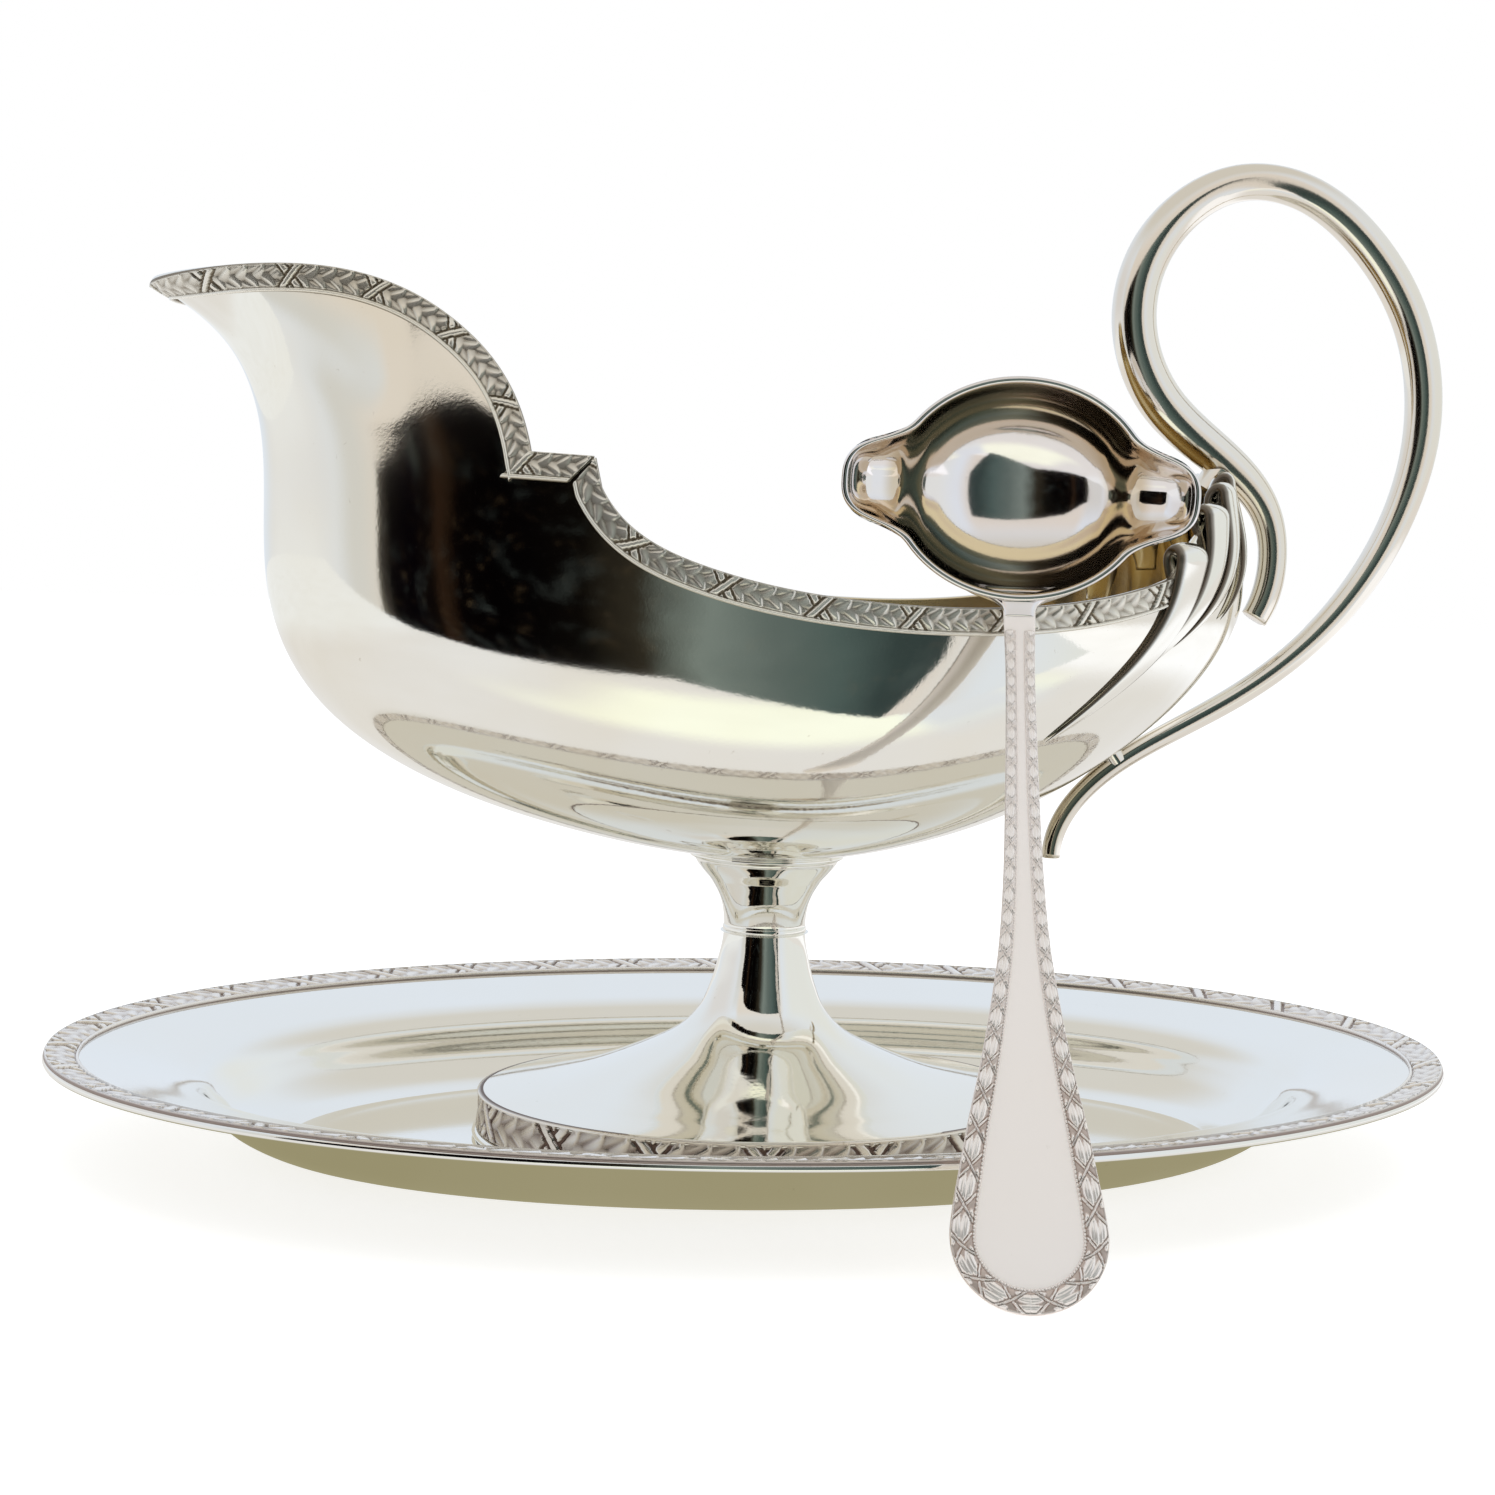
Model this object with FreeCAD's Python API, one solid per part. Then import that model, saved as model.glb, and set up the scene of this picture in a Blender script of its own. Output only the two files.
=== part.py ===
import FreeCAD, Part
import math
import os

V = FreeCAD.Vector
os.makedirs("parts", exist_ok=True)

# Silver sauce boat on a pedestal foot, with its underplate and ladle.
# Millimetres. Origin: centre of the underplate's base, on the table.
# -X spout, +X handle, -Y the side the ladle leans on, +Z up.

# ---------------------------------------------------------------- dimensions
PLATE_A, PLATE_B = 125.2, 80.9        # plate rim semi-axes
PLATE_BASE_A, PLATE_BASE_B = 84.0, 42.8
PLATE_EDGE_Z = 16.9
PLATE_T = 1.4                         # plate gauge
BORDER_W = 5.6                        # plate border width
BORDER_T = 1.2                        # plate border height above the flange

BOWL_Z0 = 53.4                        # underside of the bowl at the stem
BOWL_TOP = 151.8                      # construction height of the bowl surface
BOWL_T = 1.2                          # bowl gauge
SPOUT_A = 90.2                        # front semi-axis above which only the spout's tip flares
RIM_W = 4.6                           # rim border width
RIM_T = 0.9                           # rim border thickness
CREST_T = 2.6                         # relief of the fluted end
CREST_Z = 121.8                       # top of the bowl sheet at the handle

# bowl profiles, B-spline control points (x, z), (x, z) and (y, z)
FRONT = [(-14.0, 53.4), (-23.76, 54.49), (-40.63, 58.12), (-61.91, 65.33), (-81.01, 77.53),
         (-90.01, 95.5), (-89.16, 116.41), (-90.66, 134.06), (-99.75, 145.65), (-114.8, 152.0)]
BACK = [(13.6, 53.4), (20.99, 54.43), (35.0, 57.8), (52.4, 65.0), (70.2, 77.2),
        (83.4, 90.8), (87.4, 104.32), (83.3, 117.06), (75.8, 128.0)]
SIDE = [(14.0, 53.4), (25.76, 55.56), (34.97, 65.81), (39.85, 84.21), (40.36, 107.4),
        (38.0, 124.0), (33.2, 139.0), (29.6, 152.0)]
# rim curves in side view (x, z)
ARCH = [(-109.4, 148.9), (-101.24, 150.34), (-86.82, 152.09), (-69.56, 150.07),
        (-55.17, 141.85), (-47.09, 131.12), (-45.4, 121.4)]
SAG = [(-34.2, 116.2), (-30.75, 109.2), (-17.91, 103.32), (1.79, 99.36), (23.91, 98.01),
       (43.54, 98.94), (57.36, 101.63), (64.3, 104.2)]
STEP_IN, STEP_OUT = (-45.4, 121.4), (-35.2, 120.9)
CREST = [(64.3, 104.2), (69.5, 111.0), (75.5, 117.6), (80.4, CREST_Z), (96.0, CREST_Z)]

# handle centreline and in-plane width, B-spline control points (x, z, w)
HANDLE = [(89.4, 97.5, 4.98), (92.3, 101.9, 5.41), (93.84, 115.52, 4.71), (83.68, 125.77, 7.44),
          (68.81, 134.69, 8.34), (62.28, 150.48, 7.99), (66.56, 166.42, 7.83), (80.27, 177.58, 6.38),
          (96.81, 176.04, 6.63), (109.79, 165.04, 6.96), (118.26, 151.62, 6.68), (121.05, 135.18, 6.89),
          (117.84, 119.42, 5.97), (110.59, 104.84, 5.65), (100.12, 92.6, 4.77), (87.21, 82.91, 4.29),
          (72.75, 75.5, 3.92), (59.25, 67.5, 3.63), (52.7, 58.25, 3.54), (52.77, 52.77, 3.34)]
HANDLE_DEPTH = 0.92                   # depth across / width in plane

# stem and foot: (x semi-axis, z), with the y/x ratio falling from 1 to FOOT_RATIO
FOOT_A, FOOT_B = 51.0, 38.0
JOINT_Z = 38.8                        # where the stem's upper part meets the pedestal
STEM = [(9.8, 47.8), (7.9, 44.0), (7.35, 40.6), (7.5, 37.2), (8.2, 33.8), (9.5, 29.0), (11.6, 24.4),
        (15.6, 20.4), (22.3, 17.0), (31.4, 13.6), (40.5, 11.4), (50.4, 9.7)]
FOOT_Z0 = 1.46                        # lowest point of the foot, on the plate's well
WIRE_H = 1.5

# ladle: handle end, neck, and bowl
LADLE_A = V(24.7, -97.4, 0.9)
LADLE_B = V(34.0, -41.0, 99.0)
LADLE_YAW, LADLE_ROLL = 8.65, 2.2
LBOWL_A, LBOWL_B, LBOWL_D = 20.3, 17.0, 17.8
LBOWL_C = V(33.5, -41.0, 118.2)
LIP_L = 28.0                          # how far each lip reaches from the middle of the ladle's bowl
LADLE_T = 1.1


# ---------------------------------------------------------------- helpers
def bspline(ctrl, n, closed_ends=True):
    """Points on a clamped uniform cubic B-spline."""
    m = len(ctrl)
    k = 3
    kn = [0.0] * k + [i / float(m - k) for i in range(m - k + 1)] + [1.0] * k
    out = []
    for i in range(n):
        u = min(i / float(n - 1), 1.0 - 1e-12)
        j = k
        while j < m - 1 and kn[j + 1] <= u:
            j += 1
        d = [list(ctrl[j - k + a]) for a in range(k + 1)]
        for r in range(1, k + 1):
            for a in range(k, r - 1, -1):
                lo, hi = kn[a + j - k], kn[a + 1 + j - r]
                w = (u - lo) / (hi - lo)
                d[a] = [(1 - w) * p + w * q for p, q in zip(d[a - 1], d[a])]
        out.append(tuple(d[k]))
    return out


def interp(xs, ys, x):
    if x <= xs[0]:
        return ys[0] + (ys[1] - ys[0]) * (x - xs[0]) / (xs[1] - xs[0])
    for i in range(len(xs) - 1):
        if x <= xs[i + 1]:
            return ys[i] + (ys[i + 1] - ys[i]) * (x - xs[i]) / (xs[i + 1] - xs[i])
    return ys[-1] + (ys[-1] - ys[-2]) * (x - xs[-1]) / (xs[-1] - xs[-2])


def offset2d(pts, d):
    """Offset a polyline to its left by d (right when negative)."""
    out = []
    for i in range(len(pts)):
        a, b = pts[max(i - 1, 0)], pts[min(i + 1, len(pts) - 1)]
        tx, tz = b[0] - a[0], b[1] - a[1]
        L = math.hypot(tx, tz)
        out.append((pts[i][0] - tz / L * d, pts[i][1] + tx / L * d))
    return out


def sew(faces):
    c = Part.makeCompound(faces)
    c.sewShape(1e-3)
    sh = c.Shells[0] if c.Shells else Part.makeShell(c.Faces)
    s = Part.makeSolid(sh)
    if s.Volume < 0:
        s.reverse()
    return s


def grid_face(rows):
    s = Part.BSplineSurface()
    s.interpolate(rows)
    return s.toShape()


def cap(points_wire):
    w = Part.Wire(Part.__sortEdges__(points_wire))
    try:
        f = Part.Face(w)
        if f.isValid():
            return f
    except Exception:
        pass
    return Part.makeFilledFace(points_wire)


def tube(rings):
    """Solid through closed rings of an even number of points; two side faces and two end caps."""
    m = len(rings[0])
    h = m // 2
    fa = grid_face([[r[i] for i in range(0, h + 1)] for r in rings])
    fb = grid_face([[r[i % m] for i in range(h, m + 1)] for r in rings])

    def end(r):
        ca, cb = Part.BSplineCurve(), Part.BSplineCurve()
        return r

    ends = []
    for idx in (0, -1):
        target = rings[idx][0]
        es = []
        for f in (fa, fb):
            best, bd = None, 1e9
            mid = rings[idx][h // 2] if f is fa else rings[idx][h + h // 2]
            for e in f.Edges:
                d = e.distToShape(Part.Vertex(mid))[0]
                if d < bd:
                    best, bd = e, d
            es.append(best)
        ends.append(cap(es))
    return sew([fa, fb] + ends)


def curve(pts):
    c = Part.BSplineCurve()
    c.interpolate(pts)
    return c.toShape()


def thin_tube(rings_out, rings_in):
    """Solid between two families of rings: both closed by a flat cap at the first ring, joined at the last."""
    m = len(rings_out[0])
    h = m // 2
    faces = []
    last = []
    for rings in (rings_out, rings_in):
        first = []
        for lo, hi in ((0, h), (h, m)):
            f = grid_face([[r[i % m] for i in range(lo, hi + 1)] for r in rings])
            faces.append(f)
            for idx, store in ((0, first), (-1, last)):
                mid = Part.Vertex(rings[idx][(lo + hi) // 2])
                store.append(min(f.Edges, key=lambda e: e.distToShape(mid)[0]))
        faces.append(cap(first))
    faces.append(Part.makeRuledSurface(last[0], last[2]))
    faces.append(Part.makeRuledSurface(last[1], last[3]))
    return sew(faces)


def strip(sections):
    """Solid through K-cornered sections: ruled sides between its long edges, flat ends."""
    k = len(sections[0])
    longs = [curve([s[i] for s in sections]) for i in range(k)]
    faces = [Part.makeRuledSurface(longs[i], longs[(i + 1) % k]) for i in range(k)]
    for idx in (0, -1):
        p = sections[idx]
        faces.append(Part.Face(Part.makePolygon(list(p) + [p[0]])))
    return sew(faces)


def prism(poly, y0, y1):
    """Extrude a polygon given in side view (x, z) from y0 to y1."""
    pts = [V(x, y0, z) for x, z in poly]
    f = Part.Face(Part.makePolygon(pts + [pts[0]]))
    return f.extrude(V(0, y1 - y0, 0))


def box(x0, y0, z0, x1, y1, z1):
    return Part.makeBox(x1 - x0, y1 - y0, z1 - z0, V(x0, y0, z0))


def save(name, shape):
    sols = shape.Solids
    if not sols:
        raise RuntimeError(name + " has no solid")
    keep = [s for s in sols if s.Volume > 0.3]
    shape = keep[0] if len(keep) == 1 else Part.makeCompound(keep)
    ok = shape.isValid()
    bb = shape.BoundBox
    print("%-22s solids %d valid %s vol %9.1f  x %.1f..%.1f y %.1f..%.1f z %.1f..%.1f" % (
        name, len(keep), ok, shape.Volume, bb.XMin, bb.XMax, bb.YMin, bb.YMax, bb.ZMin, bb.ZMax))
    shape.exportStep("parts/" + name + ".step")


# ---------------------------------------------------------------- bowl surfaces
def bowl_profiles(off):
    """Front, back and side profiles, offset outward by off, as z-sorted tables."""
    f = offset2d([(x, z) for x, z in bspline(FRONT, 160)], -off)
    b = offset2d([(x, z) for x, z in bspline(BACK, 160)], off)
    s = offset2d([(x, z) for x, z in bspline(SIDE, 160)], off)
    # outward is down at the bottom: front runs to -X, so its outside is on the left
    return [([p[1] for p in c], [p[0] for p in c]) for c in (
        offset2d([(x, z) for x, z in bspline(FRONT, 160)], off),
        offset2d([(x, z) for x, z in bspline(BACK, 160)], -off),
        offset2d([(x, z) for x, z in bspline(SIDE, 160)], -off))]


def bowl_solid(off, z0, z1, levels=30, m=48):
    (fz, fx), (bz, bx), (sz, sy) = bowl_profiles(off)
    rings = []
    for i in range(levels):
        t = i / float(levels - 1)
        z = z0 + (z1 - z0) * (0.30 * t + 0.70 * t * t)
        a, b, w = -interp(fz, fx, z), interp(bz, bx, z), interp(sz, sy, z)
        e = max(a - SPOUT_A - off, 0.0)
        flare = e * e / (e + 2.0)             # belongs to the spout's tip, not to its walls
        ring = []
        for j in range(m):
            c = math.cos(2 * math.pi * j / m)
            x = b * c if c > 0 else (a - flare * (1 - c ** 4)) * c
            ring.append(V(x, w * math.sin(2 * math.pi * j / m), z))
        rings.append(ring)
    return tube(rings)


arch = bspline(ARCH, 40)
sag = bspline(SAG, 40)
rim = [(-130.0, 145.2), (-112.0, 148.4)] + arch + [STEP_OUT] + sag + CREST[1:]
above = prism(rim + [(110, CREST_Z), (110, 175), (-130, 175)], -70, 70)

outer = bowl_solid(0.0, BOWL_Z0, BOWL_TOP)
inner = bowl_solid(-BOWL_T, BOWL_Z0 + BOWL_T, BOWL_TOP + 0.5)
bowl = outer.cut(inner).cut(above)
save("bowl_body", bowl)

# rim borders: strips of even width on the outside of the rim
skin = bowl_solid(RIM_T, 80.0, BOWL_TOP - 0.3, 24).cut(outer)
skin = skin.cut(box(-200, -100, 50, 200, 100, 92))


def band(top, width):
    return offset2d(top, -width)


arch_low = [p for p in band(arch, RIM_W)]
mitre1 = (STEP_IN[0] - RIM_W, STEP_IN[1] - RIM_W)
arch_low = [(-112.0, 144.0)] + [p for p in arch_low if p[1] > mitre1[1] + 1.0][1:] + [mitre1]
spout_poly = [(-112.0, 149.4)] + arch + arch_low[::-1]
sag_low = band(sag, RIM_W)
mitre2 = (STEP_OUT[0] - 4.1, STEP_OUT[1] - 4.5)
shoulder_poly = [STEP_IN, STEP_OUT, mitre2, mitre1]
side_poly = [STEP_OUT] + sag + sag_low[::-1] + [mitre2]
for side, y0, y1 in (("left", 0.0, 60.0), ("right", -60.0, 0.0)):
    save("spout_border_" + side, skin.common(prism(spout_poly, y0, y1)))
    save("shoulder_border_" + side, skin.common(prism(shoulder_poly, y0, y1)))
    save("side_border_" + side, skin.common(prism(side_poly, y0, y1)))

# fluted end: rolled lobes each side of the handle's seat
crest_skin = bowl_solid(CREST_T, 86.0, BOWL_TOP - 26.0, 20).cut(outer)
crest_skin = crest_skin.cut(box(-200, -100, 50, 200, 100, 90))
lobes = [(64.45, 104.3), (69.5, 111.0), (75.5, 117.6), (80.4, CREST_Z), (96.0, CREST_Z), (96.0, 104.0),
         (80.0, 101.0), (73.0, 96.0), (67.6, 95.6), (66.2, 99.6)]
for side, y0, y1 in (("left", 4.4, 60.0), ("right", -60.0, -4.4)):
    save("crest_" + side, crest_skin.common(prism(lobes, y0, y1)))


# ---------------------------------------------------------------- handle
def handle_solid(grow=0.0, n=64, m=16):
    c = bspline(HANDLE, n)
    rings = []
    for i in range(n):
        a, b = c[max(i - 1, 0)], c[min(i + 1, n - 1)]
        tx, tz = b[0] - a[0], b[1] - a[1]
        L = math.hypot(tx, tz)
        nx, nz = -tz / L, tx / L
        w = c[i][2] / 2 + grow
        ring = []
        for j in range(m):
            p = 2 * math.pi * j / m
            cu, cv = math.cos(p), math.sin(p)
            ring.append(V(c[i][0] + nx * w * cu, w * HANDLE_DEPTH * cv, c[i][1] + nz * w * cu))
        rings.append(ring)
    return tube(rings)


handle = handle_solid()
save("handle", handle)


def pad(z0, z1, r, into):
    """Solder pad at the place where the handle comes nearest the bowl between z0 and z1."""
    h = handle.common(box(40, -10, z0, 140, 10, z1))
    d, pts, info = bowl.distToShape(h)
    a, b = pts[0]
    if d > 0.05:
        into = b - a
    print("gap %.3f at %.2f %.2f %.2f" % (d, a.x, a.y, a.z))
    n = into.normalize()
    start = a - n * 1.5
    c = Part.makeCylinder(r, 1.5 + max(d, 0.0) + 1.6, start, n)
    c = c.cut(outer if a.z < 100 else bowl).cut(handle)
    near = [q for q in c.Solids if q.distToShape(bowl)[0] < 0.01 and q.Volume > 0.3]
    print([round(q.Volume, 2) for q in c.Solids], len(near))
    return max(near, key=lambda q: q.Volume)


save("handle_pad_upper", pad(108.0, 128.0, 3.0, V(0.93, 0, 0.36)))
save("handle_pad_lower", pad(66.0, 80.0, 2.0, V(0.55, 0, -0.835)))

# ---------------------------------------------------------------- stem and foot
collar_pts = [(0, BOWL_Z0), (13.6, BOWL_Z0), (13.9, 52.9), (13.4, 52.2), (12.5, 51.9), (12.2, 51.2),
              (11.2, 49.6), (10.3, 48.4), (9.8, 47.8), (8.75, 46.1), (7.95, 44.2), (7.55, 42.4), (7.37, 40.6),
              (7.4, 39.9), (7.75, 39.7), (7.75, JOINT_Z), (0, JOINT_Z)]
cw = Part.makePolygon([V(r, 0, z) for r, z in collar_pts] + [V(0, 0, BOWL_Z0)])
save("stem_collar", Part.Face(cw).revolve(V(0, 0, 0), V(0, 0, 1), 360))


def stem_solid(off, zlo, zhi, n=34, m=48):
    # refine the profile, then offset it inward
    ctrl = STEM
    pts = []
    for i in range(len(ctrl) - 1):
        p0, p1 = ctrl[max(i - 1, 0)], ctrl[i]
        p2, p3 = ctrl[i + 1], ctrl[min(i + 2, len(ctrl) - 1)]
        for k in range(8):
            t = k / 8.0
            pts.append(tuple(0.5 * ((2 * b) + (-a + c) * t + (2 * a - 5 * b + 4 * c - d) * t * t
                                    + (-a + 3 * b - 3 * c + d) * t ** 3)
                             for a, b, c, d in zip(p0, p1, p2, p3)))
    pts.append(ctrl[-1])
    o = offset2d(pts, -off)
    o = [p for p in o if zlo - 3 <= p[1]]
    zs, xs = [p[1] for p in o][::-1], [p[0] for p in o][::-1]
    rings = []
    for i in range(n):
        t = i / float(n - 1)
        z = zlo + (zhi - zlo) * (0.35 * t + 0.65 * t * t)
        a = interp(zs, xs, z)
        f = min(max((a - 9.0) / (FOOT_A - 9.0), 0.0), 1.0)
        ratio = 1.0 - (1.0 - FOOT_B / FOOT_A) * (f ** 0.8)
        rings.append([V(a * math.cos(2 * math.pi * j / m), a * ratio * math.sin(2 * math.pi * j / m), z)
                      for j in range(m)])
    return tube(rings)


FOOT_TOP = STEM[-1][1]
pedestal = stem_solid(0.0, FOOT_TOP, JOINT_Z).cut(stem_solid(1.2, FOOT_TOP - 1.4, JOINT_Z - 2.0))
save("pedestal", pedestal)


def ellipse_ring(a, b, z0, z1, t):
    def e(aa, bb):
        return Part.Face(Part.Wire(Part.Ellipse(V(0, 0, z0), aa, bb).toShape())).extrude(V(0, 0, z1 - z0))
    return e(a, b).cut(e(a - t, b - t))


save("foot_border", ellipse_ring(FOOT_A, FOOT_B, FOOT_Z0 + WIRE_H, FOOT_TOP, 1.4))
save("foot_wire", ellipse_ring(FOOT_A + 0.9, FOOT_B + 0.9, FOOT_Z0, FOOT_Z0 + WIRE_H, 2.6))

# ---------------------------------------------------------------- underplate
# underside profile: (x semi-axis, y semi-axis, z)
UNDER = [(PLATE_BASE_A, PLATE_BASE_B, 0.0), (89.5, 47.6, 1.5), (94.6, 51.8, 4.3), (98.0, 54.6, 7.8),
         (100.6, 56.9, 10.7), (104.5, 60.6, 12.4), (111.0, 67.0, 13.9), (118.0, 73.9, 15.4),
         (PLATE_A, PLATE_B, PLATE_EDGE_Z)]


def smooth3(ctrl, k=6):
    pts = []
    for i in range(len(ctrl) - 1):
        p0, p1 = ctrl[max(i - 1, 0)], ctrl[i]
        p2, p3 = ctrl[i + 1], ctrl[min(i + 2, len(ctrl) - 1)]
        for q in range(k):
            t = q / float(k)
            pts.append(tuple(0.5 * ((2 * b) + (-a + c) * t + (2 * a - 5 * b + 4 * c - d) * t * t
                                    + (-a + 3 * b - 3 * c + d) * t ** 3)
                             for a, b, c, d in zip(p0, p1, p2, p3)))
    pts.append(ctrl[-1])
    return pts


def plate_rings(lift, m=64):
    under = smooth3(UNDER, 3)
    o = offset2d([(p[0], p[2]) for p in under], lift)
    rings = []
    for (x, z), p in zip(o, under):
        dx = x - p[0]
        rings.append([V((p[0] + dx) * math.cos(2 * math.pi * j / m), (p[1] + dx) * math.sin(2 * math.pi * j / m), z)
                      for j in range(m)])
    return rings


plate = thin_tube(plate_rings(0.0), plate_rings(PLATE_T))
save("plate_dish", plate)


def top_at(d):
    """Point on the plate's upper surface d in from its edge, as (x inset, z)."""
    under = smooth3(UNDER, 3)
    o = offset2d([(p[0], p[2]) for p in under], PLATE_T)
    xs, zs = [p[0] for p in o], [p[1] for p in o]
    return interp(xs, zs, PLATE_A - d)


for side, s in (("left", 1.0), ("right", -1.0)):
    secs = []
    n = 60
    for i in range(n + 1):
        p = math.pi * i / n * s
        c, q = math.cos(p), math.sin(p)
        nx, ny = c / PLATE_A, q / PLATE_B
        L = math.hypot(nx, ny)
        nx, ny = nx / L, ny / L
        if i in (0, n):
            q, ny, nx = 0.0, 0.0, (1.0 if c > 0 else -1.0)
        ex, ey = PLATE_A * c, PLATE_B * q

        def at(d, z):
            return V(ex - nx * d, ey - ny * d, z)
        secs.append([at(-0.1, top_at(0.0) + 0.06), at(-0.1, top_at(0) + BORDER_T), at(BORDER_W, top_at(BORDER_W) + BORDER_T),
                     at(BORDER_W, top_at(BORDER_W) + 0.06)])
    save("plate_border_" + side, strip(secs))

# ---------------------------------------------------------------- ladle
yaw = math.radians(LADLE_YAW)
roll = math.radians(LADLE_ROLL)
E1 = V(math.cos(yaw), -math.sin(yaw), 0)
AW = V(math.sin(yaw), math.cos(yaw), 0)
BX = E1 * math.cos(roll) - V(0, 0, math.sin(roll))      # across the ladle's bowl, lip to lip
BZ = E1 * math.sin(roll) + V(0, 0, math.cos(roll))
D = (LADLE_B - LADLE_A)
LLEN = D.Length
D = D * (1.0 / LLEN)
LAT = (E1 - D * E1.dot(D)).normalize()
NRM = D.cross(LAT).normalize()
if NRM.dot(AW) > 0:
    NRM = NRM * -1.0               # the face with the border looks away from the boat

# handle outline: distance from the end, width, back thickness
OUT = [(0.0, 3.4, 1.2), (0.5, 7.8, 1.3), (1.6, 12.4, 1.5), (3.4, 17.0, 1.6), (6.4, 21.0, 1.8), (10.5, 22.8, 1.9),
       (15.0, 22.0, 1.9), (21.0, 19.9, 1.8), (28.0, 17.3, 1.7), (36.0, 13.9, 1.6), (45.0, 10.7, 1.6),
       (55.0, 7.9, 1.6), (66.0, 6.3, 1.7), (78.0, 5.5, 1.9), (90.0, 5.0, 2.1), (102.0, 4.7, 2.3), (LLEN - 1.0, 5.2, 2.4)]
secs = []
for s, w, t in OUT:
    p = LADLE_A + D * s
    secs.append([p + LAT * (w / 2), p - LAT * (w / 2), p - LAT * (w / 2 * 0.8) - NRM * t, p + LAT * (w / 2 * 0.8) - NRM * t])
ladle_handle = strip(secs)
save("ladle_handle", ladle_handle)
LB_T = 0.7
for side, sg in (("left", -1.0), ("right", 1.0)):
    secs = []
    for s, w, t in OUT[1:-2]:
        p = LADLE_A + D * s
        bw = min(1.35 + 0.105 * w, 0.36 * w)
        if s < 5:
            bw = w / 2 - 0.35
        a, b = sg * w / 2, sg * (w / 2 - bw)
        secs.append([p + LAT * a, p + LAT * a + NRM * LB_T * 0.7, p + LAT * b + NRM * LB_T * 0.7, p + LAT * b])
    save("ladle_border_" + side, strip(secs))


def ladle_bowl_solid(off, extra=0.0, n=14, m=40):
    rings = []
    ths = [math.radians(84.0) * i / float(n - 1) for i in range(n)]
    for th in ths:
        f = math.cos(th)
        q = math.sin(th)
        a, b, d = LBOWL_A + off, LBOWL_B + off, (LBOWL_D + off) * q
        rings.append([LBOWL_C + AW * d + BX * (a * f * math.cos(2 * math.pi * j / m))
                      + BZ * (b * f * math.sin(2 * math.pi * j / m)) for j in range(m)])
    if extra:
        rings = [[p - AW * extra for p in rings[0]]] + rings
    return tube(rings)


def lip_solid(sg, off, l0, l1, n=9, m=24):
    rings = []
    for i in range(n):
        l = l0 + (l1 - l0) * i / float(n - 1)
        u = min(max((l - 15.0) / (LIP_L - 15.0), 0.0), 1.1)
        w = 10.5 * (1 - u) ** 2 + 2 * 5.2 * u * (1 - u) + 5.8 * u * u + off
        d = 11.0 * (1 - u) ** 2 + 2 * 7.0 * u * (1 - u) + 4.2 * u * u + off
        rings.append([LBOWL_C + BX * (sg * l) + AW * (d * math.cos(2 * math.pi * j / m))
                      + BZ * (w * math.sin(2 * math.pi * j / m)) for j in range(m)])
    return tube(rings)


front_half = Part.makeBox(120, 60, 120, V(-60, -60, -60))
front_half.rotate(V(0, 0, 0), V(0, 0, 1), -LADLE_YAW)
front_half.translate(LBOWL_C)
lb_out, lb_in = ladle_bowl_solid(0.0), ladle_bowl_solid(-LADLE_T, 2.0)
lbowl = lb_out.cut(lb_in)
for side, sg in (("left", -1.0), ("right", 1.0)):
    li = lip_solid(sg, -LADLE_T, 14.0, LIP_L + 1.0).cut(front_half)
    lo = lip_solid(sg, 0.0, 15.0, LIP_L).cut(front_half)
    lip = lo.cut(li).cut(lb_out)
    lip = max(lip.Solids, key=lambda s: s.Volume)
    save("ladle_lip_" + side, lip)
    lbowl = lbowl.cut(li)
save("ladle_bowl", max(lbowl.Solids, key=lambda s: s.Volume))

# heel: flares from the neck to the underside of the bowl
hs = []
for h, w, t0, t1 in ((0.0, 5.2, 0.0, 2.2), (0.8, 5.6, -0.2, 2.2), (2.0, 7.6, -0.3, 2.3), (3.2, 11.5, -0.2, 2.7), (4.6, 16.0, 0.2, 3.8)):
    p = LADLE_A + D * (LLEN - 1.0 + h)
    hs.append([p + LAT * (w / 2) - NRM * t0, p - LAT * (w / 2) - NRM * t0,
               p - LAT * (w / 2 * 0.8) - NRM * t1, p + LAT * (w / 2 * 0.8) - NRM * t1])
heel = strip(hs).cut(lb_out)
save("ladle_heel", max(heel.Solids, key=lambda s: s.Volume))
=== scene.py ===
import bpy, math
import numpy as np
from mathutils import Matrix, Vector


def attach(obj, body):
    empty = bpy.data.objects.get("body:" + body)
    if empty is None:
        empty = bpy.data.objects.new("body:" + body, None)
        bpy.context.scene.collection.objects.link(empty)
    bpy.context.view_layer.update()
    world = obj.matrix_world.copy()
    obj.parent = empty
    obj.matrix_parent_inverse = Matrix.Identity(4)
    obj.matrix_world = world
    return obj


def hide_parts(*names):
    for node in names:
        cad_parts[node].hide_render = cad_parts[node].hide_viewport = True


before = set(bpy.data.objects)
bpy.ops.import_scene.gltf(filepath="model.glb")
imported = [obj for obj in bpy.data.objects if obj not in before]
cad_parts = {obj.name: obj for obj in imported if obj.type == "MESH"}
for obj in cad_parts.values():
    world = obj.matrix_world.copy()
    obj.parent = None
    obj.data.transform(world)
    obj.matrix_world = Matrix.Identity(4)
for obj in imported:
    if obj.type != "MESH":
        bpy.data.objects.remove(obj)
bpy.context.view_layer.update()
MM = 0.001

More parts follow.
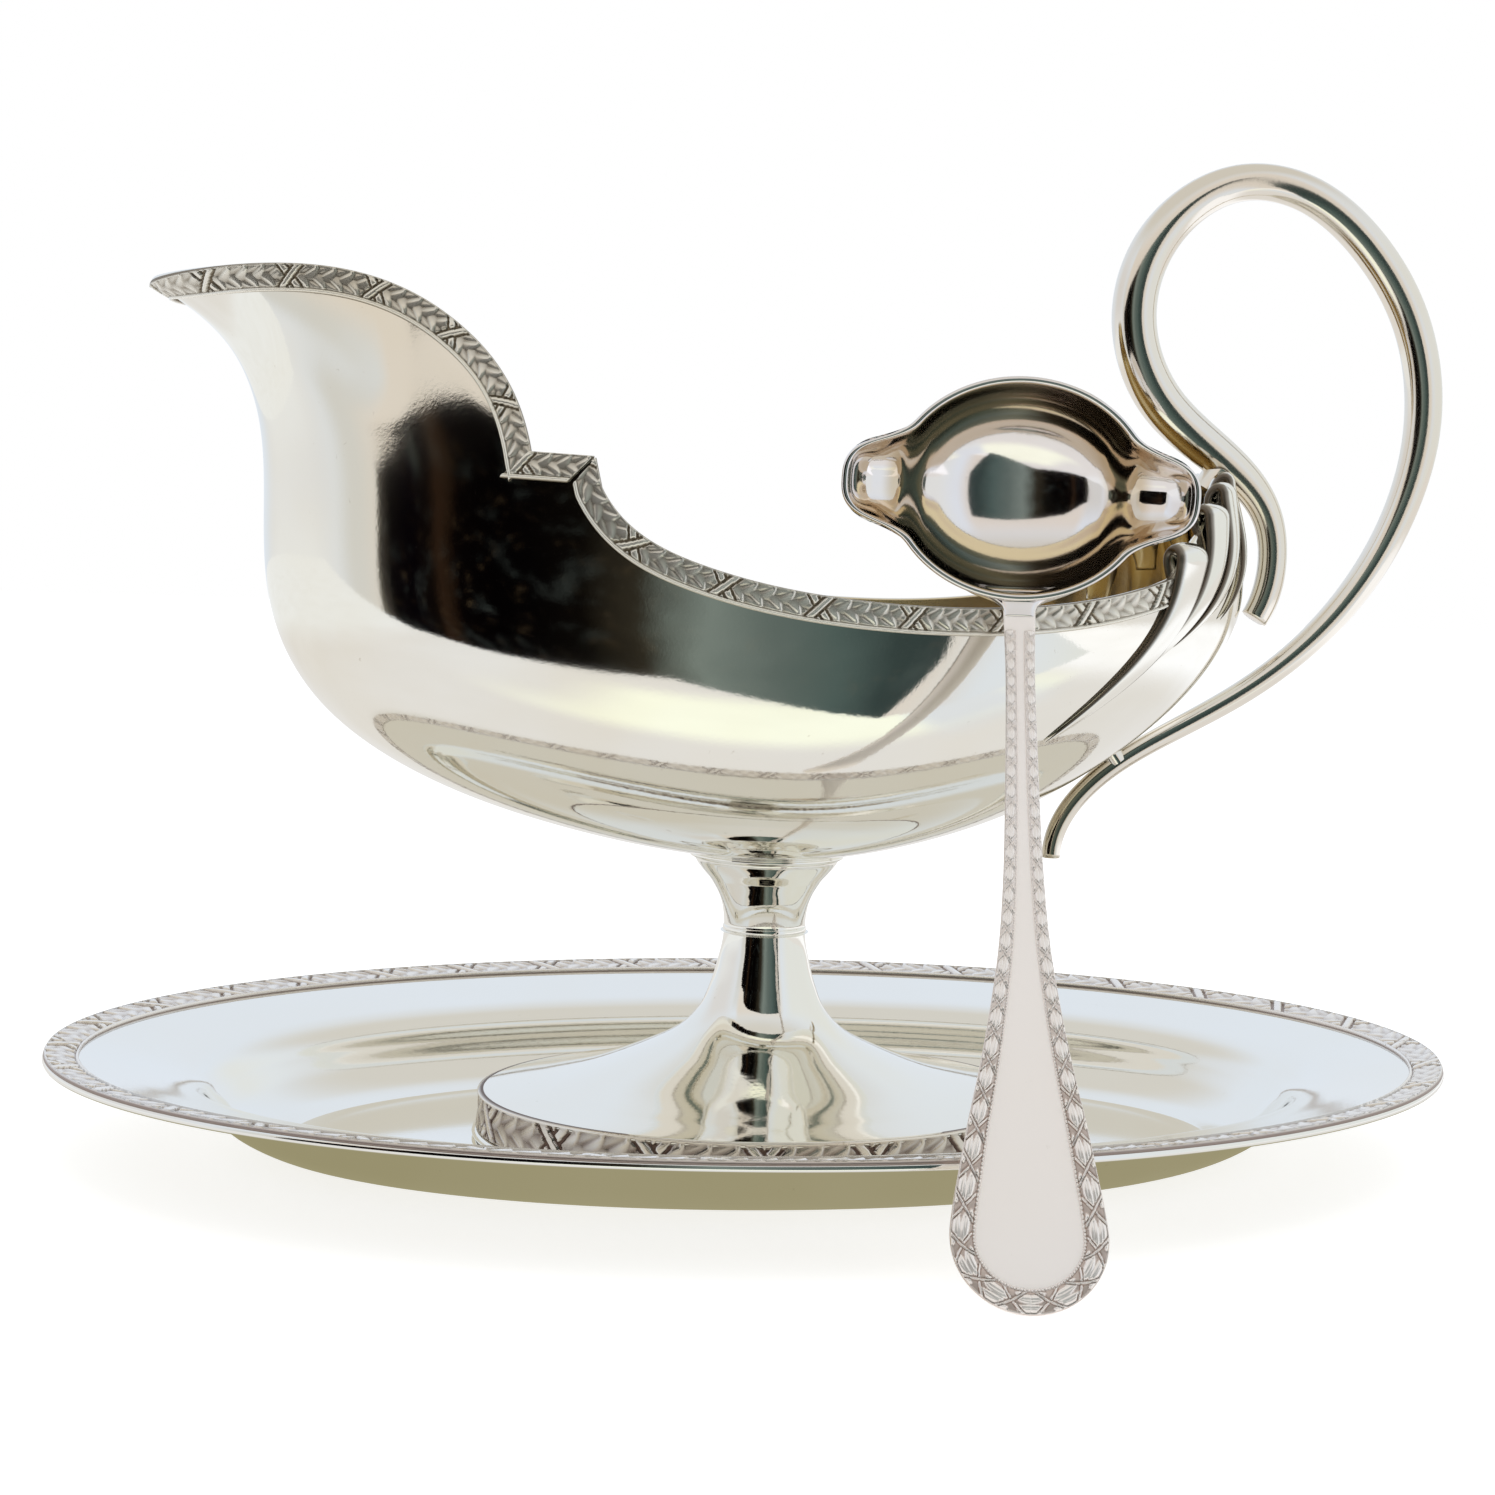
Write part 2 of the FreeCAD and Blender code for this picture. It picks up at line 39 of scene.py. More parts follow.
# ------------------------------------------------------------------ dimensions (mm), as in the CAD
FRONT = [(-14.0, 53.4), (-23.76, 54.49), (-40.63, 58.12), (-61.91, 65.33), (-81.01, 77.53),
         (-90.01, 95.5), (-89.16, 116.41), (-90.66, 134.06), (-99.75, 145.65), (-114.8, 152.0)]
BACK = [(13.6, 53.4), (20.99, 54.43), (35.0, 57.8), (52.4, 65.0), (70.2, 77.2),
        (83.4, 90.8), (87.4, 104.32), (83.3, 117.06), (75.8, 128.0)]
SIDE = [(14.0, 53.4), (25.76, 55.56), (34.97, 65.81), (39.85, 84.21), (40.36, 107.4),
        (38.0, 124.0), (33.2, 139.0), (29.6, 152.0)]
ARCH = [(-109.4, 148.9), (-101.24, 150.34), (-86.82, 152.09), (-69.56, 150.07),
        (-55.17, 141.85), (-47.09, 131.12), (-45.4, 121.4)]
SAG = [(-34.2, 116.2), (-30.75, 109.2), (-17.91, 103.32), (1.79, 99.36), (23.91, 98.01),
       (43.54, 98.94), (57.36, 101.63), (64.3, 104.2)]
STEP_IN, STEP_OUT = (-45.4, 121.4), (-35.2, 120.9)
CREST_Z = 121.8
CREST = [(64.3, 104.2), (69.5, 111.0), (75.5, 117.6), (80.4, CREST_Z), (96.0, CREST_Z)]
HANDLE = [(89.4, 97.5, 4.98), (92.3, 101.9, 5.41), (93.84, 115.52, 4.71), (83.68, 125.77, 7.44),
          (68.81, 134.69, 8.34), (62.28, 150.48, 7.99), (66.56, 166.42, 7.83), (80.27, 177.58, 6.38),
          (96.81, 176.04, 6.63), (109.79, 165.04, 6.96), (118.26, 151.62, 6.68), (121.05, 135.18, 6.89),
          (117.84, 119.42, 5.97), (110.59, 104.84, 5.65), (100.12, 92.6, 4.77), (87.21, 82.91, 4.29),
          (72.75, 75.5, 3.92), (59.25, 67.5, 3.63), (52.7, 58.25, 3.54), (52.77, 52.77, 3.34)]
STEM = [(9.8, 47.8), (7.9, 44.0), (7.35, 40.6), (7.5, 37.2), (8.2, 33.8), (9.5, 29.0), (11.6, 24.4),
        (15.6, 20.4), (22.3, 17.0), (31.4, 13.6), (40.5, 11.4), (50.4, 9.7)]
FOOT_A, FOOT_B, FOOT_Z0, FOOT_TOP, WIRE_H = 51.0, 38.0, 1.46, 9.7, 1.5
JOINT_Z = 38.8
PLATE_A, PLATE_B = 125.2, 80.9
PLATE_T = 1.4
UNDER = [(84.0, 42.8, 0.0), (89.5, 47.6, 1.5), (94.6, 51.8, 4.3), (98.0, 54.6, 7.8),
         (100.6, 56.9, 10.7), (104.5, 60.6, 12.4), (111.0, 67.0, 13.9), (118.0, 73.9, 15.4),
         (PLATE_A, PLATE_B, 16.9)]
BOWL_T, RIM_W = 1.2, 4.6
SPOUT_A = 90.2
LADLE_A = np.array([24.7, -97.4, 0.9])
LADLE_B = np.array([34.0, -41.0, 99.0])
LB_C = np.array([33.5, -41.0, 118.2])
YAW, ROLL = math.radians(8.65), math.radians(2.2)

# ------------------------------------------------------------------ curves and surfaces
def bspline(ctrl, u):
    c = np.asarray(ctrl, float)
    m, k = len(c), 3
    kn = np.concatenate([[0.0] * k, np.linspace(0, 1, m - k + 1), [1.0] * k])
    u = np.clip(np.atleast_1d(u), 0, 1 - 1e-12)
    out = np.zeros((len(u), c.shape[1]))
    for i, t in enumerate(u):
        j = int(np.searchsorted(kn, t, side="right") - 1)
        j = min(max(j, k), m - 1)
        d = [c[j - k + a].copy() for a in range(k + 1)]
        for r in range(1, k + 1):
            for a in range(k, r - 1, -1):
                lo, hi = kn[a + j - k], kn[a + 1 + j - r]
                w = (t - lo) / (hi - lo)
                d[a] = (1 - w) * d[a - 1] + w * d[a]
        out[i] = d[k]
    return out


def catmull(ctrl, k):
    c = np.asarray(ctrl, float)
    out = []
    for i in range(len(c) - 1):
        p0, p1, p2, p3 = c[max(i - 1, 0)], c[i], c[i + 1], c[min(i + 2, len(c) - 1)]
        for q in range(k):
            t = q / k
            out.append(0.5 * (2 * p1 + (p2 - p0) * t + (2 * p0 - 5 * p1 + 4 * p2 - p3) * t * t
                              + (3 * p1 - p0 - 3 * p2 + p3) * t ** 3))
    out.append(c[-1])
    return np.array(out)


def unit(v):
    return v / np.maximum(np.linalg.norm(v, axis=-1, keepdims=True), 1e-12)


def smoothstep(a, b, x):
    t = np.clip((x - a) / (b - a), 0, 1)
    return t * t * (3 - 2 * t)


UU = np.linspace(0, 1, 900)
_F, _B, _S = bspline(FRONT, UU), bspline(BACK, UU), bspline(SIDE, UU)


def ext_interp(z, zs, xs):
    """Linear interpolation that keeps its slope past both ends."""
    y = np.interp(z, zs, xs)
    s = (xs[-1] - xs[-12]) / (zs[-1] - zs[-12])
    return np.where(z > zs[-1], xs[-1] + s * (z - zs[-1]), y)


def semi(z):
    return (ext_interp(z, _F[:, 1], -_F[:, 0]), ext_interp(z, _B[:, 1], _B[:, 0]), ext_interp(z, _S[:, 1], _S[:, 0]))


def beak(a, c):
    """Front semi-axis at angle cosine c: the flare above SPOUT_A belongs to the spout's tip, not its walls."""
    e = np.maximum(a - SPOUT_A, 0.0)
    return a - e * e / (e + 2.0) * (1 - c ** 4)


def bowl_pt(phi, z):
    """Point on the outer surface of the bowl: phi 0 at the handle, pi at the spout, negative on the near side."""
    a, b, w = semi(z)
    c, s = np.cos(phi), np.sin(phi)
    return np.stack([np.where(c > 0, b, beak(a, c)) * c, w * s, z + 0 * c], -1)


def bowl_nrm(phi, z):
    """Outward normal by differences."""
    e = 1e-3
    du = bowl_pt(phi + e, z) - bowl_pt(phi - e, z)
    dv = bowl_pt(phi, z + 0.05) - bowl_pt(phi, z - 0.05)
    return unit(np.cross(du, dv))


def snap(p):
    """Nearest point at the same height on the bowl's outer surface, and its angle."""
    a, b, w = semi(p[..., 2])
    c = np.where(p[..., 0] > 0, p[..., 0] / b, p[..., 0] / a)
    phi = np.arctan2(p[..., 1] / w, c)
    for _ in range(12):
        c = np.where(p[..., 0] > 0, p[..., 0] / b, p[..., 0] / beak(a, np.cos(phi)))
        phi = np.arctan2(p[..., 1] / w, c)
    return phi, p[..., 2]


# rim line in side view: tip -> step -> sag -> crest
_arch = bspline(ARCH, np.linspace(0, 1, 400))
_sag = bspline(SAG, np.linspace(0, 1, 400))
RIMXZ = np.vstack([[(-130, 145.2), (-112, 148.4)], _arch, [STEP_OUT], _sag, CREST[1:]])


def rim_z(phi):
    """Height at which the meridian at phi meets the rim line."""
    phi = np.atleast_1d(phi)
    out = np.zeros(len(phi))
    zz = np.linspace(95.0, 152.5, 2400)
    for i, p in enumerate(phi):
        x = bowl_pt(np.full_like(zz, p), zz)[:, 0]
        top = np.interp(x, RIMXZ[:, 0], RIMXZ[:, 1])
        above = zz > top
        k = int(np.argmax(above)) if above.any() else len(zz) - 1
        if k > 0:
            d0, d1 = zz[k - 1] - top[k - 1], zz[k] - top[k]
            f = 0 if d1 == d0 else -d0 / (d1 - d0)
            out[i] = zz[k - 1] + f * (zz[k] - zz[k - 1])
        else:
            out[i] = zz[0]
    return out


# ------------------------------------------------------------------ mesh building
def make(name, verts, faces, smooth=True, attrs=None, normals=None):
    me = bpy.data.meshes.new(name)
    me.from_pydata((np.asarray(verts) * MM).tolist(), [], [tuple(int(i) for i in f) for f in faces])
    me.validate()
    if smooth:
        me.polygons.foreach_set("use_smooth", [True] * len(me.polygons))
    for k, v in (attrs or {}).items():
        at = me.attributes.new(k, "FLOAT", "POINT")
        at.data.foreach_set("value", np.asarray(v, float).ravel())
    me.update()
    ob = bpy.data.objects.new(name, me)
    bpy.context.scene.collection.objects.link(ob)
    return ob


def quads(nu, nv, base=0, wrap_v=False, flip=False):
    f = []
    for i in range(nu - 1):
        for j in range(nv if wrap_v else nv - 1):
            a, b = base + i * nv + j, base + i * nv + (j + 1) % nv
            c, d = base + (i + 1) * nv + (j + 1) % nv, base + (i + 1) * nv + j
            f.append((a, d, c, b) if flip else (a, b, c, d))
    return f


class Build:
    """Collects vertex blocks and faces for one closed piece."""
    def __init__(self):
        self.v, self.f, self.n, self.a = [], [], 0, []

    def grid(self, P, wrap_v=False, flip=False, rel=None):
        nu, nv = P.shape[:2]
        base = self.n
        self.v.append(P.reshape(-1, 3))
        self.a.append(np.zeros(nu * nv) + 1.0 if rel is None else np.asarray(rel, float).reshape(-1))
        self.n += nu * nv
        self.f += quads(nu, nv, base, wrap_v, flip)
        return np.arange(base, self.n).reshape(nu, nv)

    def point(self, p, rel=1.0):
        self.v.append(np.asarray(p, float).reshape(1, 3)); self.a.append(np.array([rel])); self.n += 1
        return self.n - 1

    def bridge(self, r0, r1, closed=False, flip=False):
        n = len(r0)
        for j in range(n if closed else n - 1):
            k = (j + 1) % n
            q = (r0[j], r0[k], r1[k], r1[j])
            self.f.append(q[::-1] if flip else q)

    def fan(self, ring, c, flip=False, closed=True):
        n = len(ring)
        for j in range(n if closed else n - 1):
            k = (j + 1) % n
            q = (ring[j], ring[k], c)
            self.f.append(q[::-1] if flip else q)

    def ngon(self, ids, flip=False):
        self.f.append(tuple(ids[::-1]) if flip else tuple(ids))

    def done(self, name):
        ob = make(name, np.vstack(self.v), self.f, attrs={"relief": np.concatenate(self.a)})
        fix_normals(ob)
        return ob


def fix_normals(ob):
    import bmesh
    bm = bmesh.new()
    bm.from_mesh(ob.data)
    bmesh.ops.remove_doubles(bm, verts=bm.verts, dist=1e-7)
    bmesh.ops.recalc_face_normals(bm, faces=bm.faces)
    bm.to_mesh(ob.data)
    bm.free()
    ob.data.update()


def put(ob, body, slot, mat, *nodes):
    ob.data.materials.clear()
    ob.data.materials.append(mat)
    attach(ob, body)
    if nodes:
        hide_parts(*nodes)
    return ob


# ------------------------------------------------------------------ leaf relief
def leaf_relief(s, v, half, pitch, bead=0.10, ribbon=3, wire=0.0):
    """Height 0..1 of a laurel garland: s along, v (-1 outer edge .. 1 inner edge) across.
    bead: share of the half width taken by the fine outer wire; wire: share taken by the plain inner moulding."""
    lo, hi = -1 + 2 * bead, 1 - 2 * max(wire, bead)
    vv = (v - 0.5 * (lo + hi)) / (0.5 * (hi - lo))       # the garland fills |vv| < 1
    hw = half * 0.5 * (hi - lo)
    y = vv * hw
    h = np.zeros_like(s)
    al = math.radians(30)
    L = 1.10 * hw / math.sin(al)
    for row in (1.0, -1.0):
        off = 0.0 if row > 0 else 0.5 * pitch
        base = np.floor((s - off) / pitch)
        for k in (-4, -3, -2, -1, 0, 1):
            sc = (base + k) * pitch + off
            ds = s - sc
            al_y = y * row
            along = ds * math.cos(al) + al_y * math.sin(al)
            acr = -ds * math.sin(al) + al_y * math.cos(al)
            u = along / L
            wd = 0.62 * pitch * np.sin(np.pi * np.clip(u, 0, 1) ** 0.9) ** 0.75 + 1e-6
            r = np.abs(acr) / wd
            ok = (u > 0) & (u < 1) & (r < 1)
            hh = np.sqrt(np.clip(1 - r ** 2, 0, 1)) * (0.35 + 0.6 * u)
            hh = hh - 0.28 * np.exp(-(acr / (0.10 * pitch)) ** 2) * (u < 0.85)
            h = np.where(ok, np.maximum(h, hh), h)
    h = np.maximum(h, 0.45 * np.sqrt(np.clip(1 - (y / (0.09 * pitch + 0.06)) ** 2, 0, 1)))
    # crossing ribbons
    rp = ribbon * pitch
    sr = (s / rp - np.round(s / rp)) * rp
    for sg in (1, -1):
        d = (sr - sg * y * 0.8) / math.hypot(1, 0.8)
        rr = np.abs(d) / (0.15 * pitch)
        band = rr < 1
        groove = (rr >= 1) & (rr < 1.9)
        h = np.where(groove & (h > 0.06), 0.06, h)
        h = np.where(band, 0.62 + 0.2 * np.sqrt(np.clip(1 - rr ** 2, 0, 1)), h)
    h = np.where(np.abs(vv) < 1, h * (1 - 0.25 * vv ** 6), 0.0)
    rb = np.abs(v - (-1 + bead)) / (bead * 0.9)
    h = np.maximum(h, 0.72 * np.sqrt(np.clip(1 - rb ** 2, 0, 1)))
    if wire:
        rw = np.abs(v - (1 - wire)) / (wire * 0.86)
        h = np.maximum(h, 1.0 * np.sqrt(np.clip(1 - rw ** 2, 0, 1)))
    else:
        rb = np.abs(v - (1 - bead)) / (bead * 0.9)
        h = np.maximum(h, 0.8 * np.sqrt(np.clip(1 - rb ** 2, 0, 1)))
    return h


def relief_strip(P, N, rel, amp, base, sink):
    """Closed strip: P base points (ns, nw, 3), N normals, rel 0..1."""
    b = Build()
    top = P + N * (base + amp * rel)[..., None]
    g = b.grid(top, rel=rel)
    bot0 = P[:, 0] - N[:, 0] * sink
    bot1 = P[:, -1] - N[:, -1] * sink
    k = b.grid(np.stack([bot0, bot1], 1), rel=np.zeros((len(P), 2)), flip=True)
    b.bridge(g[:, 0], k[:, 0])
    b.bridge(k[:, 1], g[:, -1])
    b.ngon([k[0, 0]] + list(g[0, :]) + [k[0, 1]])
    b.ngon([k[-1, 1]] + list(g[-1, ::-1]) + [k[-1, 0]])
    return b


# ------------------------------------------------------------------ materials
def nodes_of(name):
    m = bpy.data.materials.new(name)
    m.use_nodes = True
    nt = m.node_tree
    nt.nodes.clear()
    out = nt.nodes.new("ShaderNodeOutputMaterial")
    p = nt.nodes.new("ShaderNodeBsdfPrincipled")
    nt.links.new(p.outputs[0], out.inputs[0])
    return m, nt, p


def noise(nt, scale, detail=4.0, rough=0.6, vec=None, distortion=0.0):
    n = nt.nodes.new("ShaderNodeTexNoise")
    n.inputs["Scale"].default_value = scale
    n.inputs["Detail"].default_value = detail
    n.inputs["Roughness"].default_value = rough
    n.inputs["Distortion"].default_value = distortion
    if vec is not None:
        nt.links.new(vec, n.inputs["Vector"])
    return n


def ramp(nt, src, stops):
    r = nt.nodes.new("ShaderNodeValToRGB")
    el = r.color_ramp.elements
    while len(el) < len(stops):
        el.new(0.5)
    for e, (p, c) in zip(el, stops):
        e.position = p
        e.color = (c, c, c, 1) if not isinstance(c, tuple) else (*c, 1)
    nt.links.new(src, r.inputs[0])
    return r


def mixc(nt, fac, a, b, mode="MIX"):
    m = nt.nodes.new("ShaderNodeMix")
    m.data_type = "RGBA"
    m.blend_type = mode
    for i, x in ((0, fac), (6, a), (7, b)):
        if isinstance(x, (int, float)):
            m.inputs[i].default_value = x
        elif isinstance(x, tuple):
            m.inputs[i].default_value = (*x, 1)
        else:
            nt.links.new(x, m.inputs[i])
    return m.outputs[2]


def silver(name, col=(0.93, 0.915, 0.86), rough=0.045, stain=0.5, scratch=0.010, stretch=(1, 1, 1), gilt_and_painted_shade=None, recess=None, metal=1.0, gilt_rough=None):
    m, nt, p = nodes_of(name)
    tc = nt.nodes.new("ShaderNodeTexCoord")
    mp = nt.nodes.new("ShaderNodeMapping")
    mp.inputs["Scale"].default_value = stretch
    nt.links.new(tc.outputs["Object"], mp.inputs["Vector"])
    v = tc.outputs["Object"]
    big = noise(nt, 22, 3, 0.5, v, 0.4)
    spot = noise(nt, 420, 6, 0.75, v)
    fine = noise(nt, 1500, 3, 0.6, mp.outputs[0])
    warm = tuple(c * k for c, k in zip(col, (0.96, 0.90, 0.78)))
    c1 = mixc(nt, ramp(nt, big.outputs[0], [(0.42, 0.0), (0.75, 0.55 * stain)]).outputs[0], col, warm)
    # small tarnish specks
    c2 = mixc(nt, ramp(nt, spot.outputs[0], [(0.66, 0.0), (0.74, 0.55 * stain)]).outputs[0], c1, (0.42, 0.34, 0.24))
    if recess:
        at = nt.nodes.new("ShaderNodeAttribute")
        at.attribute_name = "relief"
        r = ramp(nt, at.outputs["Fac"], recess["stops"])
        c2 = mixc(nt, r.outputs[0], recess["dark"], c2)
        rr = ramp(nt, at.outputs["Fac"], [(0.0, 0.42), (0.5, 0.2), (1.0, 0.13)])
        nt.links.new(rr.outputs[0], p.inputs["Roughness"])
    else:
        rr = ramp(nt, big.outputs[0], [(0.3, rough * 0.75), (0.7, rough * 1.5)])
        nt.links.new(rr.outputs[0], p.inputs["Roughness"])
    # tint from a point attribute: real gilding inside the boat's bowl; on the handle it is a painted reflection and in
    # the ladle's cup painted shade
    if gilt_and_painted_shade:
        at = nt.nodes.new("ShaderNodeAttribute")
        at.attribute_name = "gilt_and_painted_shade"
        c2 = mixc(nt, at.outputs["Fac"], c2, gilt_and_painted_shade)
        if gilt_rough:
            ro = mixc(nt, at.outputs["Fac"], rr.outputs[0], (gilt_rough,) * 3)
            nt.links.new(ro, p.inputs["Roughness"])
    nt.links.new(c2, p.inputs["Base Color"])
    p.inputs["Metallic"].default_value = metal
    if scratch:
        b = nt.nodes.new("ShaderNodeBump")
        b.inputs["Strength"].default_value = scratch * 10
        b.inputs["Distance"].default_value = 0.00004
        nt.links.new(fine.outputs[0], b.inputs["Height"])
        nt.links.new(b.outputs[0], p.inputs["Normal"])
    return m


BASE = (0.90, 0.88, 0.82)
M_SILVER = silver("silver_polished", col=BASE)
M_BOWL = silver("silver_bowl", col=BASE, gilt_and_painted_shade=(0.66, 0.55, 0.34), gilt_rough=0.20, stain=0.9)
# the handle's tint colour (0.46, 0.38, 0.25) is a painted brown reflection, laid on where the handle's mask says
M_HANDLE = silver("silver_handle", col=(0.86, 0.81, 0.73), rough=0.10, stain=0.5, gilt_and_painted_shade=(0.46, 0.38, 0.25))
M_PLATE = silver("silver_plate", col=(0.91, 0.90, 0.86), rough=0.06, stain=0.25)
# the ladle's tint colour is painted shade, laid in a ring inside its cup
M_LADLE = silver("silver_ladle", col=(0.88, 0.84, 0.82), rough=0.07, stain=0.3, gilt_and_painted_shade=(0.66, 0.54, 0.38))
M_SATIN = silver("silver_ladle_handle", col=(0.99, 0.925, 0.885), metal=0.12, rough=0.36, stain=0.35, scratch=0.03, stretch=(1, 1, 0.08))
DARK = (0.15, 0.10, 0.08)
M_BORDER = silver("silver_border", col=(0.88, 0.83, 0.76), stain=0.9,
                  recess={"stops": [(0.10, 0.0), (0.40, 0.30), (0.70, 0.80), (0.92, 1.0)], "dark": DARK})
# the crest's dark colour is painted shade along the lobes' sides, carried in the relief attribute
M_CREST = silver("silver_crest", col=BASE, stain=0.5, recess={"stops": [(0.0, 0.0), (0.35, 0.25), (0.75, 1.0)], "dark": (0.16, 0.13, 0.10)})
M_BORDER_L = silver("silver_ladle_border", col=(0.97, 0.91, 0.87), metal=0.5, stain=0.5,
                    recess={"stops": [(0.04, 0.0), (0.25, 0.55), (0.55, 0.95), (0.92, 1.0)], "dark": (0.50, 0.37, 0.31)})

M_BORDER_R = silver("silver_rim_border", col=(0.90, 0.87, 0.79), metal=0.68, stain=0.9,
                    recess={"stops": [(0.08, 0.0), (0.36, 0.34), (0.66, 0.86), (0.92, 1.0)], "dark": (0.19, 0.15, 0.10)})
M_BORDER_P = silver("silver_plate_border", col=(0.92, 0.88, 0.84), metal=0.85, stain=0.7,
                    recess={"stops": [(0.06, 0.0), (0.30, 0.50), (0.62, 0.95), (0.92, 1.0)], "dark": (0.36, 0.29, 0.26)})

# ------------------------------------------------------------------ bowl
def bowl_columns():
    """Angles of the meridians, packed near the rim's corners; near side is mirrored."""
    half = list(np.linspace(0, math.pi, 220))
    for (x, z) in (STEP_IN, STEP_OUT, (-34.2, 116.2), (-47.8, 129.8)):
        a, b, w = semi(np.array([z]))
        ph = math.acos(x / a[0])
        half += [ph + d for d in (-0.012, -0.008, -0.005, -0.0025, -0.001, 0, 0.001, 0.0025, 0.005, 0.008, 0.012)]
    half += list(np.linspace(math.acos(-34.2 / 88.9), math.acos(-48.5 / 89.5), 40))
    half = np.unique(np.round(np.sort(half), 5))
    keep = [half[0]]
    for p in half[1:]:
        if p - keep[-1] > 6e-4:
            keep.append(p)
    half = np.array(keep)
    half[-1] = math.pi
    return half


def ease_throat(ob):
    """Tilt the shading normals, not the mesh, of the spout's outer wall under its border by up to 9 degrees.
    The polished silver there then mirrors the light wall instead of the tent's dark open front."""
    me = ob.data
    n = len(me.vertices)
    co, nr = np.empty(n * 3), np.empty(n * 3)
    me.vertices.foreach_get("co", co)
    me.vertex_normals.foreach_get("vector", nr)
    co, nr = co.reshape(-1, 3) / MM, nr.reshape(-1, 3)
    low = np.interp(co[:, 0], [-90, -83, -79, -75, -71, -66], [141, 137, 135, 131, 129, 129])
    m = smoothstep(-96, -91, co[:, 0]) * smoothstep(-64, -71, co[:, 0]) * smoothstep(0, 1, (co[:, 2] - low + 4) / 9)
    m = m * (nr[:, 1] * co[:, 1] > 0)
    nr = unit(nr + m[:, None] * np.array([-0.14, 0.0, 0.08]))
    me.normals_split_custom_set_from_vertices([tuple(map(float, v)) for v in nr])


def build_bowl():
    half = bowl_columns()
    phis = np.concatenate([half, -half[1:-1][::-1]])
    zr_half = rim_z(half)
    zr = np.concatenate([zr_half, zr_half[1:-1][::-1]])
    n = len(phis)
    t_lo = np.linspace(0, 1, 46)
    z_lo = 53.4 + (92 - 53.4) * (0.12 * t_lo + 0.88 * t_lo ** 2)
    t_up = np.linspace(0, 1, 60)[1:]
    rows_z = [np.full(n, z) for z in z_lo] + [92 + (zr - 92) * t for t in t_up]
    Z = np.array(rows_z)
    PH = np.broadcast_to(phis, Z.shape)
    P = bowl_pt(PH, Z)
    N = bowl_nrm(PH, Z)
    # inner surface, with fluting at the handle end
    dphi = np.abs((PH + np.pi) % (2 * np.pi) - np.pi)
    depth = zr[None, :] - Z
    region = smoothstep(0.86, 0.72, dphi) * smoothstep(40, 8, depth) * smoothstep(0.05, 0.14, dphi)
    flute = 0.55 * np.abs(np.sin((dphi - 0.06) / 0.062 * np.pi / 1.0 / 2.0)) * region
    I = P - N * (BOWL_T - 0.55 * region + flute)[..., None]
    b = Build()
    g = b.grid(P, wrap_v=True)
    gi = b.grid(I, wrap_v=True, flip=True)
    # floor discs
    ctr_o = []
    prev_o, prev_i = g[0], gi[0]
    for f in (0.8, 0.6, 0.4, 0.2):
        Po = P[0] * np.array([f, f, 1])
        Pi = np.stack([I[0][:, 0] * f, I[0][:, 1] * f, np.full(n, I[0][:, 2].mean() - 0.25 * (1 - f * f))], -1)
        ro, ri = b.grid(Po[None])[0], b.grid(Pi[None])[0]
        b.bridge(prev_o, ro, closed=True, flip=True)
        b.bridge(prev_i, ri, closed=True)
        prev_o, prev_i = ro, ri
    b.fan(prev_o, b.point([0, 0, 53.4]), flip=True)
    b.fan(prev_i, b.point([0, 0, I[0][:, 2].mean() - 0.25]))
    # rounded rim edge
    up = unit(P[-1] - P[-3])
    prev = g[-1]
    c = 0.5 * (P[-1] + I[-1])
    rr = 0.5 * np.linalg.norm(P[-1] - I[-1], axis=1)
    for th in (45, 90, 135):
        a = math.radians(th)
        pt = c + (P[-1] - c) * math.cos(a) + up * (rr * math.sin(a) * 0.6)[:, None]
        r = b.grid(pt[None])[0]
        b.bridge(prev, r, closed=True)
        prev = r
    b.bridge(prev, gi[-1], closed=True)
    ob = make("bowl", np.vstack(b.v), b.f)
    ng = P.shape[0] * P.shape[1]
    gilt_and_painted_shade = np.zeros(b.n)
    gilt_and_painted_shade[ng:2 * ng] = 1.0
    gilt_and_painted_shade[2 * ng:] = 0.0
    for k, arr in enumerate(b.v):
        pass
    at = ob.data.attributes.new("gilt_and_painted_shade", "FLOAT", "POINT")
    # the floor discs inside are gilt too
    off = 2 * ng
    flags = []
    for arr in b.v[2:10]:
        flags.append(len(arr))
    pos = off
    for i, ln in enumerate(flags):
        if i % 2 == 1:
            gilt_and_painted_shade[pos:pos + ln] = 1.0
        pos += ln
    gilt_and_painted_shade[pos + 1:pos + 2] = 1.0
    at.data.foreach_set("value", gilt_and_painted_shade)
    fix_normals(ob)
    ease_throat(ob)
    return put(ob, "boat", "bowl_silver", M_BOWL, "bowl_body")


build_bowl()

# ------------------------------------------------------------------ rim borders
def lift(xz, sign):
    """Points in side view to the bowl's outer surface on one side."""
    x, z = xz[..., 0], xz[..., 1]
    a, b, w = semi(z)
    c = np.clip(x / np.where(x > 0, b, a), -1, 1)
    for _ in range(60):
        c = 0.5 * c + 0.5 * np.clip(x / np.where(x > 0, b, beak(a, c)), -1, 1)
    return np.stack([x, sign * w * np.sqrt(np.clip(1 - c ** 2, 0, 1)), z], -1)


